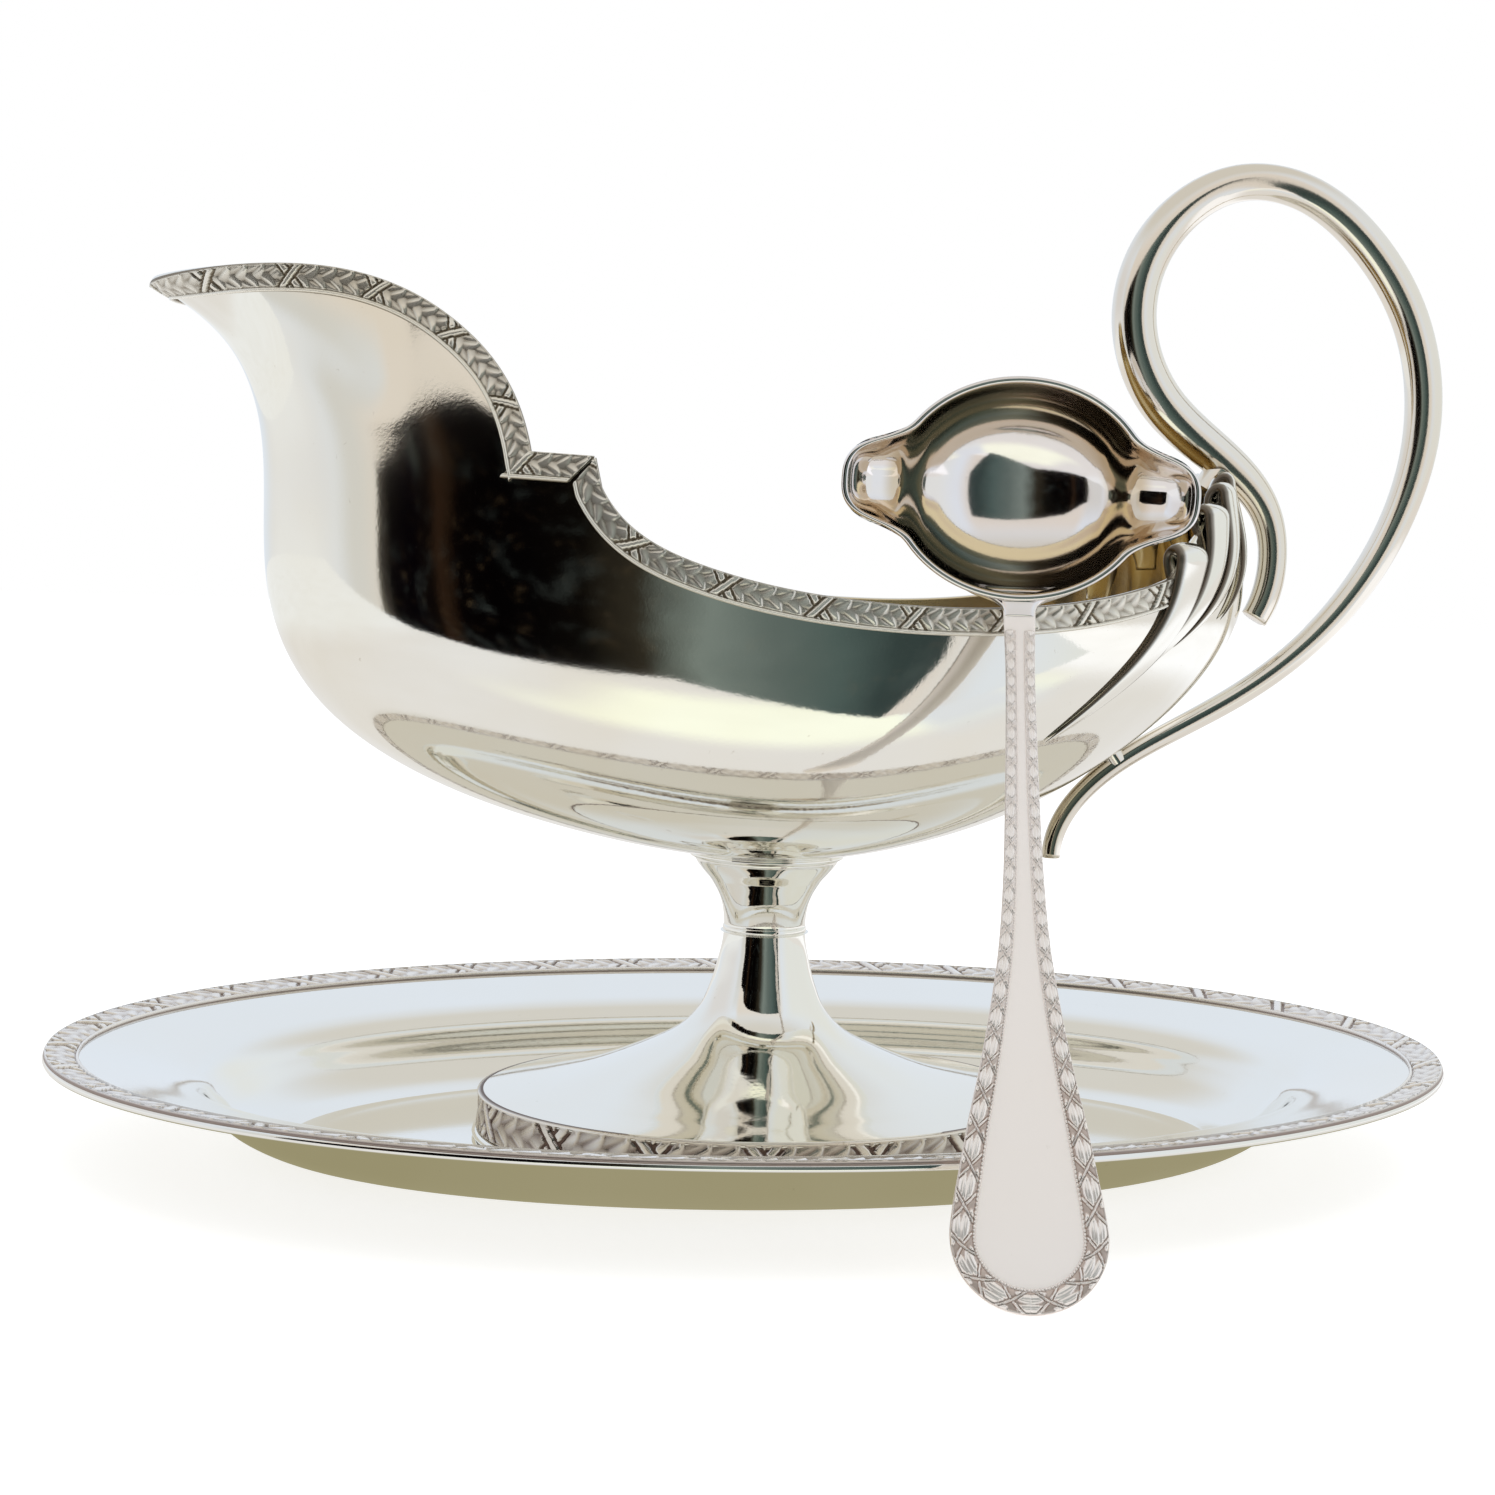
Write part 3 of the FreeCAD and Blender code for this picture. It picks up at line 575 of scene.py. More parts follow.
def rim_strip(name, outer_xz, sign, e0, e1, s_off, node, tip=False):
    """Leaf border under a rim line. e0, e1: how far the inner edge is extended (mm) at each end for the mitres."""
    C = lift(outer_xz, sign)
    if tip:
        C[0, 1] = 0
    d = np.r_[0, np.cumsum(np.linalg.norm(np.diff(C, axis=0), axis=1))]
    Ltot = d[-1]
    ns, nw = int(Ltot / 0.18), 33
    u = np.linspace(0, 1, ns)
    w = np.linspace(0, 1, nw)
    S = u[:, None] * (Ltot + (e1 - e0) * w[None, :]) + e0 * w[None, :]

    def at(s):
        c = np.stack([np.interp(s, d, C[:, k]) for k in range(3)], -1)
        # straight past the ends
        t0, t1 = unit(C[3] - C[0]), unit(C[-1] - C[-4])
        c = np.where((s < 0)[..., None], C[0] + t0 * s[..., None], c)
        c = np.where((s > Ltot)[..., None], C[-1] + t1 * (s - Ltot)[..., None], c)
        return c
    P0 = at(S)
    T = unit(at(S + 0.4) - at(S - 0.4)) if not tip else unit(at(np.clip(S + 0.5, 0, 1e9)) - at(np.clip(S - 0.5, 0, 1e9)))
    phi, z = snap(P0)
    N = bowl_nrm(phi, z)
    Bd = unit(np.cross(N, T))
    Bd = np.where((Bd[..., 2:3] > 0), -Bd, Bd)
    Q = P0 + Bd * (RIM_W * w[None, :] - 0.35)[..., None]
    for _ in range(2):
        phi, z = snap(Q)
        Q2 = bowl_pt(phi, z)
        N = bowl_nrm(phi, z)
        Q = Q2
    rel = leaf_relief(S + s_off, np.broadcast_to(2 * w[None, :] - 1, S.shape), RIM_W / 2, 3.1, bead=0.05, ribbon=5, wire=0.17)
    edge = np.minimum(w, 1 - w)[None, :] * RIM_W
    rel = rel * smoothstep(0.0, 0.12, edge)
    b = relief_strip(Q, N, rel, 0.62, 0.25, 0.25)
    ob = b.done(name)
    return put(ob, "boat", "chased_border", M_BORDER_R, node)


def dense_arch():
    """Arch line sampled evenly in 3-D, starting exactly at the tip."""
    u = np.linspace(0, 1, 1600) ** 2
    xz = bspline(ARCH, u)
    a, b, w = semi(xz[:, 1])
    # the tip lies where the line meets the front profile
    ok = np.abs(xz[:, 0]) <= a
    i0 = int(np.argmax(ok))
    xz = xz[i0:]
    xz[0, 0] = -semi(xz[:1, 1])[0][0]
    return xz


arch_xz = dense_arch()
sho = np.linspace(0, 1, 30)[:, None] * (np.array(STEP_OUT) - np.array(STEP_IN)) + np.array(STEP_IN)
side_xz = np.vstack([np.linspace(0, 1, 20)[:-1, None] * (np.array(SAG[0]) - np.array(STEP_OUT)) + np.array(STEP_OUT), _sag])
for side, sg in (("left", 1.0), ("right", -1.0)):
    rim_strip("spout_leaf_" + side, arch_xz, sg, 0.0, 3.8, 0.0, "spout_border_" + side, tip=True)
    rim_strip("shoulder_leaf_" + side, sho, sg, -4.6, -4.1, 1.2, "shoulder_border_" + side)
    rim_strip("side_leaf_" + side, side_xz, sg, 3.5, 0.0, 0.6, "side_border_" + side)

# ------------------------------------------------------------------ fluted crest
def crest_lobes(sign):
    b = Build()
    # lobe centres along the rim, from the border's end to the handle
    for k, (f0, f1, wid) in enumerate(((0.665, 0.90, 7.6), (0.50, 0.80, 7.3), (0.335, 0.66, 6.8), (0.17, 0.46, 6.3))):
        zr = float(rim_z(np.array([f0]))[0])
        path, wv, tv, nn = [], [], [], []
        # inside, over the rim, down the outside sweeping forward
        for s in np.linspace(-9, 34 - 3 * k, 60):
            if s < 0:
                z = zr + s
                ph = f0
                off = -BOWL_T - 0.25
                th = 0.5 + 0.5 * smoothstep(-9, -2, s)
                wd = wid * (0.55 + 0.45 * smoothstep(-9, 0, s)) * 0.5
            else:
                q = s / (34.0 - 3 * k)
                z = zr - s * 0.93
                ph = f0 + (f1 - f0) * q ** 1.7
                off = 0.35 + 1.5 * math.exp(-s / 5.0)
                th = 1.25 * (1 - q) ** 0.6 + 0.02
                wd = wid * 0.5 * (1 - q) ** 0.75 + 0.05
            P = bowl_pt(np.array([ph]), np.array([z]))[0]
            N = bowl_nrm(np.array([ph]), np.array([min(z, zr)]))[0]
            path.append(P + N * off); wv.append(wd); tv.append(th); nn.append(N)
        path, wv, tv, nn = map(np.array, (path, wv, tv, nn))
        # arch over the top of the rim
        ss = np.linspace(-9, 34 - 3 * k, 60)
        i0 = int(np.argmax(ss >= 0))
        top = []
        pin, pout = path[i0 - 1], path[i0]
        cc = 0.5 * (pin + pout)
        rad = 0.5 * np.linalg.norm(pout - pin)
        e = unit(pout - pin)
        for a in np.linspace(math.pi, 0, 11)[1:-1]:
            top.append(cc + e * rad * math.cos(a) + np.array([0, 0, 1.0]) * rad * 1.25 * math.sin(a))
        path = np.vstack([path[:i0], top, path[i0:]])
        m = len(top)
        wv = np.concatenate([wv[:i0], np.linspace(wv[i0 - 1], wv[i0], m), wv[i0:]])
        tv = np.concatenate([tv[:i0], np.linspace(tv[i0 - 1], tv[i0], m), tv[i0:]])
        T = unit(np.gradient(path, axis=0))
        lat0 = unit(bowl_pt(np.array([f0 + 0.02]), np.array([zr]))[0] - bowl_pt(np.array([f0 - 0.02]), np.array([zr]))[0])
        rings = []
        for i in range(len(path)):
            t = T[i]
            lat = unit(lat0 - t * np.dot(lat0, t))
            if np.linalg.norm(lat0 - t * np.dot(lat0, t)) < 0.2:
                lat = rings_lat
            rings_lat = lat
            nrm = unit(np.cross(t, lat))
            ang = np.linspace(0, 2 * math.pi, 20, endpoint=False)
            rings.append(path[i] + np.outer(np.cos(ang) * wv[i], lat) + np.outer(np.sin(ang) * tv[i], nrm))
        R = np.array(rings)
        if sign < 0:
            R = R * np.array([1, -1, 1])
        # painted shade: the sides of each lobe, down in the grooves, are darkened by giving them low relief values
        flank = 1 - smoothstep(0.62, 0.90, np.abs(np.cos(ang)))[None] * smoothstep(0.02, 0.12, np.linspace(0, 1, len(path)))[:, None]
        g = b.grid(R, wrap_v=True, rel=flank)
        b.fan(g[0], b.point(R[0].mean(0)), flip=True)
        b.fan(g[-1], b.point(R[-1].mean(0)))
    return b


for side, sg in (("left", 1.0), ("right", -1.0)):
    ob = crest_lobes(sg).done("crest_lobes_" + side)
    put(ob, "boat", "polished_silver", M_CREST, "crest_" + side)

# ------------------------------------------------------------------ handle
def build_handle():
    u = np.linspace(0, 1, 420)
    c = bspline(HANDLE, u)
    t = unit(np.gradient(c[:, :2], axis=0))
    n = np.stack([-t[:, 1], t[:, 0]], -1)
    m = 40
    ang = np.linspace(0, 2 * math.pi, m, endpoint=False)
    cu, cv = np.cos(ang), np.sin(ang)
    k = 0.94
    cu2 = np.sign(cu) * np.abs(cu) ** k
    cv2 = np.sign(cv) * np.abs(cv) ** k
    w = c[:, 2] / 2
    R = np.zeros((len(u), m, 3))
    R[:, :, 0] = c[:, :1] + n[:, :1] * w[:, None] * cu2[None]
    R[:, :, 2] = c[:, 1:2] + n[:, 1:2] * w[:, None] * cu2[None]
    R[:, :, 1] = (w * 0.92)[:, None] * cv2[None]
    b = Build()
    g = b.grid(R, wrap_v=True)
    for idx, fl in ((0, True), (-1, False)):
        cen = R[idx].mean(0)
        tt = np.array([t[idx, 0], 0, t[idx, 1]]) * (-1 if idx == 0 else 1)
        r1 = b.grid((cen + (R[idx] - cen) * 0.86 + tt * 0.12)[None])[0]
        b.bridge(g[idx], r1, closed=True, flip=fl)
        b.fan(r1, b.point(cen + tt * 0.14), flip=fl)
    ob = make("handle_bar", np.vstack(b.v), b.f)
    painted_brown_reflection = np.zeros(b.n)
    # painted reflection: brown on one side of the handle's lower tail (near) and of its hook at the rim (hook)
    near = 0.75 * smoothstep(0.895, 0.94, u)[:, None] * smoothstep(-0.5, 0.3, -cu)[None]
    hook = 0.45 * smoothstep(0.17, 0.10, u)[:, None] * smoothstep(-0.1, 0.6, cu)[None]
    painted_brown_reflection[:len(u) * m] = np.maximum(near, hook).ravel()
    at = ob.data.attributes.new("gilt_and_painted_shade", "FLOAT", "POINT")
    at.data.foreach_set("value", painted_brown_reflection)
    fix_normals(ob)
    return put(ob, "boat", "polished_silver", M_HANDLE, "handle")


build_handle()

# ------------------------------------------------------------------ turned and oval pieces
def ring_stack(rows, m=160):
    """rows of (a, b, z) -> grid of rings."""
    ang = np.linspace(0, 2 * math.pi, m, endpoint=False)
    r = np.asarray(rows, float)
    return np.stack([r[:, :1] * np.cos(ang)[None], r[:, 1:2] * np.sin(ang)[None], np.broadcast_to(r[:, 2:3], (len(r), m))], -1)


def closed_loop(rows, name, m=160):
    """A ring-shaped piece: its section is the closed polygon rows."""
    R = ring_stack(list(rows) + [rows[0]], m)
    b = Build()
    b.grid(R, wrap_v=True)
    return b.done(name)


def offset_rows(p, d):
    t = np.gradient(p, axis=0)
    L = np.hypot(t[:, 0], t[:, 1])
    return np.stack([p[:, 0] - t[:, 1] / L * d, p[:, 1] + t[:, 0] / L * d], -1)


# pedestal
st = catmull(STEM, 10)
def stem_ratio(a):
    f = np.clip((a - 9.0) / (FOOT_A - 9.0), 0, 1)
    return 1 - (1 - FOOT_B / FOOT_A) * f ** 0.8
o = offset_rows(st, -1.2)
o = o[(o[:, 1] > 8.4) & (o[:, 1] < JOINT_Z - 2.0)]
low = st[st[:, 1] < JOINT_Z - 0.05]
low = np.vstack([[np.interp(JOINT_Z, st[::-1, 1], st[::-1, 0]), JOINT_Z], low])
rows = [(x, x * stem_ratio(x), z) for x, z in low]
b = Build()
g = b.grid(ring_stack(rows), wrap_v=True)
rows_i = [(x, x * stem_ratio(x), z) for x, z in o]
gi = b.grid(ring_stack(rows_i), wrap_v=True, flip=True)
b.bridge(g[-1], gi[-1], closed=True)
b.fan(g[0], b.point([0, 0, JOINT_Z]), flip=True)
b.fan(gi[0], b.point([0, 0, rows_i[0][2]]))
put(b.done("pedestal_shell"), "boat", "polished_silver", M_SILVER, "pedestal")

# collar: two rounded steps under the bowl
prof = [(0.001, 53.4), (13.2, 53.4), (13.75, 53.25), (13.95, 52.85), (13.75, 52.45), (13.2, 52.25), (12.9, 52.2), (12.85, 51.95),
        (12.75, 51.6), (12.3, 50.9), (11.6, 50.0), (10.8, 49.1), (10.1, 48.3), (9.78, 47.8), (8.75, 46.1), (7.95, 44.2),
        (7.55, 42.4), (7.37, 40.6), (7.38, 40.0), (7.46, 39.85), (7.53, 39.55), (7.54, 39.2), (7.50, 38.9), (7.45, JOINT_Z), (0.001, JOINT_Z)]
pr = catmull(prof, 4)
pr[:, 0] = np.clip(pr[:, 0], 0.001, 14)
pr[:, 1] = np.clip(pr[:, 1], JOINT_Z, 53.4)
b = Build()
g = b.grid(ring_stack([(x, x, z) for x, z in pr], 96), wrap_v=True)
b.ngon(list(g[0]), flip=True)
b.ngon(list(g[-1]))
put(b.done("collar_ring"), "boat", "polished_silver", M_SILVER, "stem_collar")


# foot border: upright band
def oval_strip(name, a0, b0, a1, b1, z0, z1, nw, pitch_goal, amp, t0, t1, slot, mat, thick, body, nodes, wire_side=1.0):
    """Leaf band round an oval from (a0, b0, z0) to (a1, b1, z1) between angles t0 and t1."""
    N0 = 4000
    th = np.linspace(0, 2 * math.pi, N0 + 1)
    pm = np.stack([0.5 * (a0 + a1) * np.cos(th), 0.5 * (b0 + b1) * np.sin(th)], -1)
    d = np.r_[0, np.cumsum(np.linalg.norm(np.diff(pm, axis=0), axis=1))]
    total = d[-1]
    pitch = total / (4 * round(total / pitch_goal / 4))
    s0, s1 = np.interp(t0, th, d), np.interp(t1, th, d)
    ns = int((s1 - s0) / 0.2)
    S = np.linspace(s0, s1, ns)
    TH = np.interp(S, d, th)
    w = np.linspace(0, 1, nw)
    A, Bb, Z = a0 + (a1 - a0) * w, b0 + (b1 - b0) * w, z0 + (z1 - z0) * w
    P = np.stack([A[None] * np.cos(TH)[:, None], Bb[None] * np.sin(TH)[:, None], np.broadcast_to(Z[None], (ns, nw))], -1)
    du = np.stack([-A[None] * np.sin(TH)[:, None], Bb[None] * np.cos(TH)[:, None], np.zeros((ns, nw))], -1)
    dv = np.stack([(a1 - a0) * np.cos(TH)[:, None] + 0 * w[None], (b1 - b0) * np.sin(TH)[:, None] + 0 * w[None], np.full((ns, nw), z1 - z0)], -1)
    N = unit(np.cross(du, dv))
    if z1 - z0 < 3.0:
        N = -N
    width = math.hypot(math.hypot(a1 - a0, 0), z1 - z0)
    rel = leaf_relief(np.broadcast_to(S[:, None], (ns, nw)), np.broadcast_to(wire_side * (2 * w[None] - 1), (ns, nw)), width / 2, pitch, bead=0.06, ribbon=4, wire=0.11)
    rel = rel * smoothstep(0, 0.12, np.minimum(w, 1 - w)[None] * width)
    bb = relief_strip(P, N, rel, amp, 0.0, thick)
    return put(bb.done(name), body, slot, mat, *nodes)


oval_strip("foot_leaf_band", FOOT_A - 0.35, FOOT_B - 0.35, FOOT_A - 0.75, FOOT_B - 0.75, FOOT_Z0 + WIRE_H, FOOT_TOP + 0.1, 34, 4.6, 0.75,
           0, 2 * math.pi, "chased_border", M_BORDER, 1.0, "boat", ["foot_border"])
fw = []
for a in np.linspace(0, 2 * math.pi, 14, endpoint=False):
    fw.append((FOOT_A - 0.15 + 1.0 * math.cos(a), FOOT_B - 0.15 + 1.0 * math.cos(a), FOOT_Z0 + WIRE_H / 2 + WIRE_H / 2 * math.sin(a)))
put(closed_loop(fw, "foot_base_wire", 200), "boat", "polished_silver", M_SILVER, "foot_wire")

# ------------------------------------------------------------------ underplate
un = catmull(UNDER, 8)
off = offset_rows(un[:, [0, 2]], PLATE_T)
dx = off[:, 0] - un[:, 0]
up_rows = np.stack([un[:, 0] + dx, un[:, 1] + dx, off[:, 1]], -1)
b = Build()
M = 260
lo_in = [(un[0, 0] * f, un[0, 1] * f, 0.0) for f in (0.02, 0.25, 0.5, 0.75, 0.95)]
up_in = [(up_rows[0, 0] * f, up_rows[0, 1] * f, up_rows[0, 2]) for f in (0.02, 0.25, 0.5, 0.75, 0.95)]
edge = []
pe, qe = un[-1], up_rows[-1]
mid = 0.5 * (pe + qe)
for th in (30, 60, 90, 120, 150):
    a = math.radians(th)
    v = (pe - mid) * math.cos(a)
    edge.append((mid[0] + v[0] + 0.45 * math.sin(a), mid[1] + v[1] + 0.45 * math.sin(a), mid[2] + v[2]))
rows = lo_in + [tuple(r) for r in un] + edge + [tuple(r) for r in up_rows[::-1]] + up_in[::-1]
g = b.grid(ring_stack(rows, M), wrap_v=True)
b.fan(g[0], b.point([0, 0, 0.0]), flip=True)
b.fan(g[-1], b.point([0, 0, up_rows[0, 2]]))
put(b.done("plate_shell"), "plate", "plate_silver", M_PLATE, "plate_dish")


def plate_top(inset):
    x = up_rows[:, 0]
    return float(np.interp(PLATE_A - inset, x, up_rows[:, 2]))


for side, t0, t1 in (("left", 0.0, math.pi), ("right", math.pi, 2 * math.pi)):
    oval_strip("plate_leaf_" + side, PLATE_A - 5.7, PLATE_B - 5.7, PLATE_A + 0.1, PLATE_B + 0.1, plate_top(5.7), plate_top(0.0) + 0.05, 30, 4.4, 0.75,
               t0, t1, "chased_border", M_BORDER_P, 0.3, "plate", ["plate_border_" + side], wire_side=-1.0)

# ------------------------------------------------------------------ ladle
E1 = np.array([math.cos(YAW), -math.sin(YAW), 0])
AW = np.array([math.sin(YAW), math.cos(YAW), 0])
D = LADLE_B - LADLE_A
LLEN = float(np.linalg.norm(D))
D = D / LLEN
LAT = unit(E1 - D * np.dot(E1, D))
NRM = unit(np.cross(D, LAT))
if np.dot(NRM, AW) > 0:
    NRM = -NRM
BX = E1 * math.cos(ROLL) - np.array([0, 0, math.sin(ROLL)])
BZ = E1 * math.sin(ROLL) + np.array([0, 0, math.cos(ROLL)])
OUT = [(0.0, 3.4, 1.2), (0.5, 7.8, 1.3), (1.6, 12.4, 1.5), (3.4, 17.0, 1.6), (6.4, 21.0, 1.8), (10.5, 22.8, 1.9),
       (15.0, 22.0, 1.9), (21.0, 19.9, 1.8), (28.0, 17.3, 1.7), (36.0, 13.9, 1.6), (45.0, 10.7, 1.6),
       (55.0, 7.9, 1.6), (66.0, 6.3, 1.7), (78.0, 5.5, 1.9), (90.0, 5.0, 2.1), (102.0, 4.7, 2.3), (LLEN - 1.0, 5.2, 2.4)]


def out_w(s):
    """Width and back thickness of the ladle's handle at distance s from its end."""
    c = catmull(OUT, 10)
    w = np.interp(s, c[:, 0], c[:, 1])
    r0 = 10.9
    rnd = 22.8 * np.sqrt(np.clip(1 - ((r0 - np.clip(s, 0, r0)) / r0) ** 2, 0, 1))
    return np.where(s < r0, rnd, w), np.interp(s, c[:, 0], c[:, 2])


def border_w(w):
    return np.minimum(1.35 + 0.105 * w, 0.36 * w)


def build_ladle_handle():
    s = np.unique(np.concatenate([0.02 + 11 * (1 - np.cos(np.linspace(0, math.pi / 2, 26))), np.linspace(11, LLEN - 0.5, 130)]))
    w, t = out_w(s)
    w = np.maximum(w, 0.3)
    m = 44
    ang = np.linspace(0, 2 * math.pi, m, endpoint=False)
    cu, cv = np.cos(ang), np.sin(ang)
    lat = np.sign(cu) * np.abs(cu) ** 0.8
    # front face nearly flat, back softly rounded
    fr = np.where(cv > 0, 0.35 * np.abs(cv) ** 0.5, 0)
    R = (LADLE_A + D * s[:, None])[:, None, :] + LAT * (w[:, None] / 2 * lat[None])[..., None]
    thick = np.where(cv[None] > 0, fr[None] * np.minimum(1, w[:, None] / 6), -np.abs(cv[None]) ** 0.8 * t[:, None] * np.minimum(1, w[:, None] / 6 + 0.2))
    R = R + NRM * thick[..., None]
    b = Build()
    g = b.grid(R, wrap_v=True)
    b.fan(g[0], b.point(R[0].mean(0)), flip=True)
    b.fan(g[-1], b.point(R[-1].mean(0)))
    return put(b.done("ladle_stem"), "ladle", "ladle_silver", M_SATIN, "ladle_handle")


build_ladle_handle()


def ladle_border():
    """One strip from the middle of the end up each edge."""
    for side, sg in (("left", -1.0), ("right", 1.0)):
        s = np.concatenate([0.0 + 11 * (1 - np.cos(np.linspace(0.0, math.pi / 2, 120))), np.linspace(11.1, LLEN - 4.5, 600)])
        w, t = out_w(s)
        edge = np.stack([sg * w / 2, s], -1)
        edge[0] = (0.0, 0.0)
        d = np.r_[0, np.cumsum(np.linalg.norm(np.diff(edge, axis=0), axis=1))]
        ns = int(d[-1] / 0.16)
        q = np.linspace(0, d[-1], ns)
        E = np.stack([np.interp(q, d, edge[:, 0]), np.interp(q, d, edge[:, 1])], -1)
        T = np.gradient(E, axis=0)
        for _ in range(6):
            T[1:-1] = (T[:-2] + T[1:-1] * 2 + T[2:]) / 4
        T = unit(T)
        T[0] = (sg, 0)
        IN = np.stack([-T[:, 1] * sg, T[:, 0] * sg], -1)
        bw = border_w(out_w(E[:, 1])[0])
        bw = np.where(E[:, 1] < 10.9, 3.7, bw)
        nw = 30
        wv = np.linspace(0, 1, nw)
        XY = E[:, None, :] + IN[:, None, :] * (bw[:, None] * wv[None] + 0.05)[..., None]
        XY[..., 0] = sg * np.maximum(sg * XY[..., 0], 0.0)
        P = LADLE_A + D * XY[..., 1:2] + LAT * XY[..., 0:1]
        crown = 0.30 * np.sin(np.pi * wv)[None] ** 0.7
        # the garland's pitch shrinks with the border's width
        ph = np.r_[0.5, 0.5 + np.cumsum(np.diff(q) / (0.5 * (bw[1:] + bw[:-1]) * 1.62 + 0.3))]
        S = np.broadcast_to(ph[:, None] * 4.6, (ns, nw))
        v = np.broadcast_to(2 * wv[None] - 1, (ns, nw))
        rel = garland(S, v, 4.6)
        keep = 0.45 + 0.55 * smoothstep(1.9, 3.2, bw)[:, None]      # flatter where the border is narrow
        rel = (0.6 * (1 - keep) + keep * rel) * smoothstep(0, 0.05, np.minimum(wv, 1 - wv)[None])
        N = np.broadcast_to(NRM, P.shape)
        bb = relief_strip(P + N * (crown + 0.10)[..., None], N, rel, 0.50, 0.05, 0.3)
        put(bb.done("ladle_leaf_" + side), "ladle", "chased_border", M_BORDER_L, "ladle_border_" + side)


def garland(s, v, pitch):
    """Ladle pattern: long oval leaves between crossed ribbons, with a fine bead row on the inner edge (v = 1)."""
    vv = (v + 0.12) / 0.82                      # the pattern fills |vv| < 1
    t = (s / pitch - np.round(s / pitch))       # -0.5..0.5, ribbons cross at 0
    tt = t - np.sign(t) * 0.5
    h = np.full_like(s, 0.16)
    for c0, c1, ra, rb, sl in ((0.0, 0.28, 0.40, 0.50, 0.22), (0.0, -0.50, 0.36, 0.40, -0.18), (0.30, 0.75, 0.16, 0.22, 0.0), (-0.30, -0.8, 0.16, 0.2, 0.0)):
        q = tt - sl * (vv - c1)
        r = ((q - c0) / ra) ** 2 + ((vv - c1) / rb) ** 2
        hh = 0.40 + 0.6 * np.sqrt(np.clip(1 - r, 0, 1)) - 0.25 * np.exp(-((vv - c1) / 0.05) ** 2) * (np.abs(q) < 0.25)
        h = np.maximum(h, hh * (r < 1))
    for sg in (1, -1):
        d = np.abs(t - sg * vv * 0.34)
        h = np.where(d < 0.085, 0.0, h)
        h = np.where(d < 0.04, 0.50 + 0.2 * np.sqrt(np.clip(1 - (d / 0.04) ** 2, 0, 1)), h)
    h = np.where(np.abs(vv) < 1, h, 0.03)
    h = np.maximum(h, 0.8 * np.sqrt(np.clip(1 - ((v + 0.95) / 0.06) ** 2, 0, 1)))
    bs = s / pitch * 9.0
    bt = (bs - np.round(bs)) * 2.0
    r = (bt / 0.9) ** 2 + ((v - 0.86) / 0.10) ** 2
    return np.maximum(h, (0.40 + 0.35 * np.sqrt(np.clip(1 - r, 0, 1))) * (r < 1))


ladle_border()


def lip_w(l):
    u = np.clip((np.abs(l) - 15.0) / 13.0, 0, 1.1)
    return 10.5 * (1 - u) ** 2 + 2 * 5.2 * u * (1 - u) + 5.8 * u * u


def lip_d(l):
    u = np.clip((np.abs(l) - 15.0) / 13.0, 0, 1.1)
    return 11.0 * (1 - u) ** 2 + 2 * 7.0 * u * (1 - u) + 4.2 * u * u


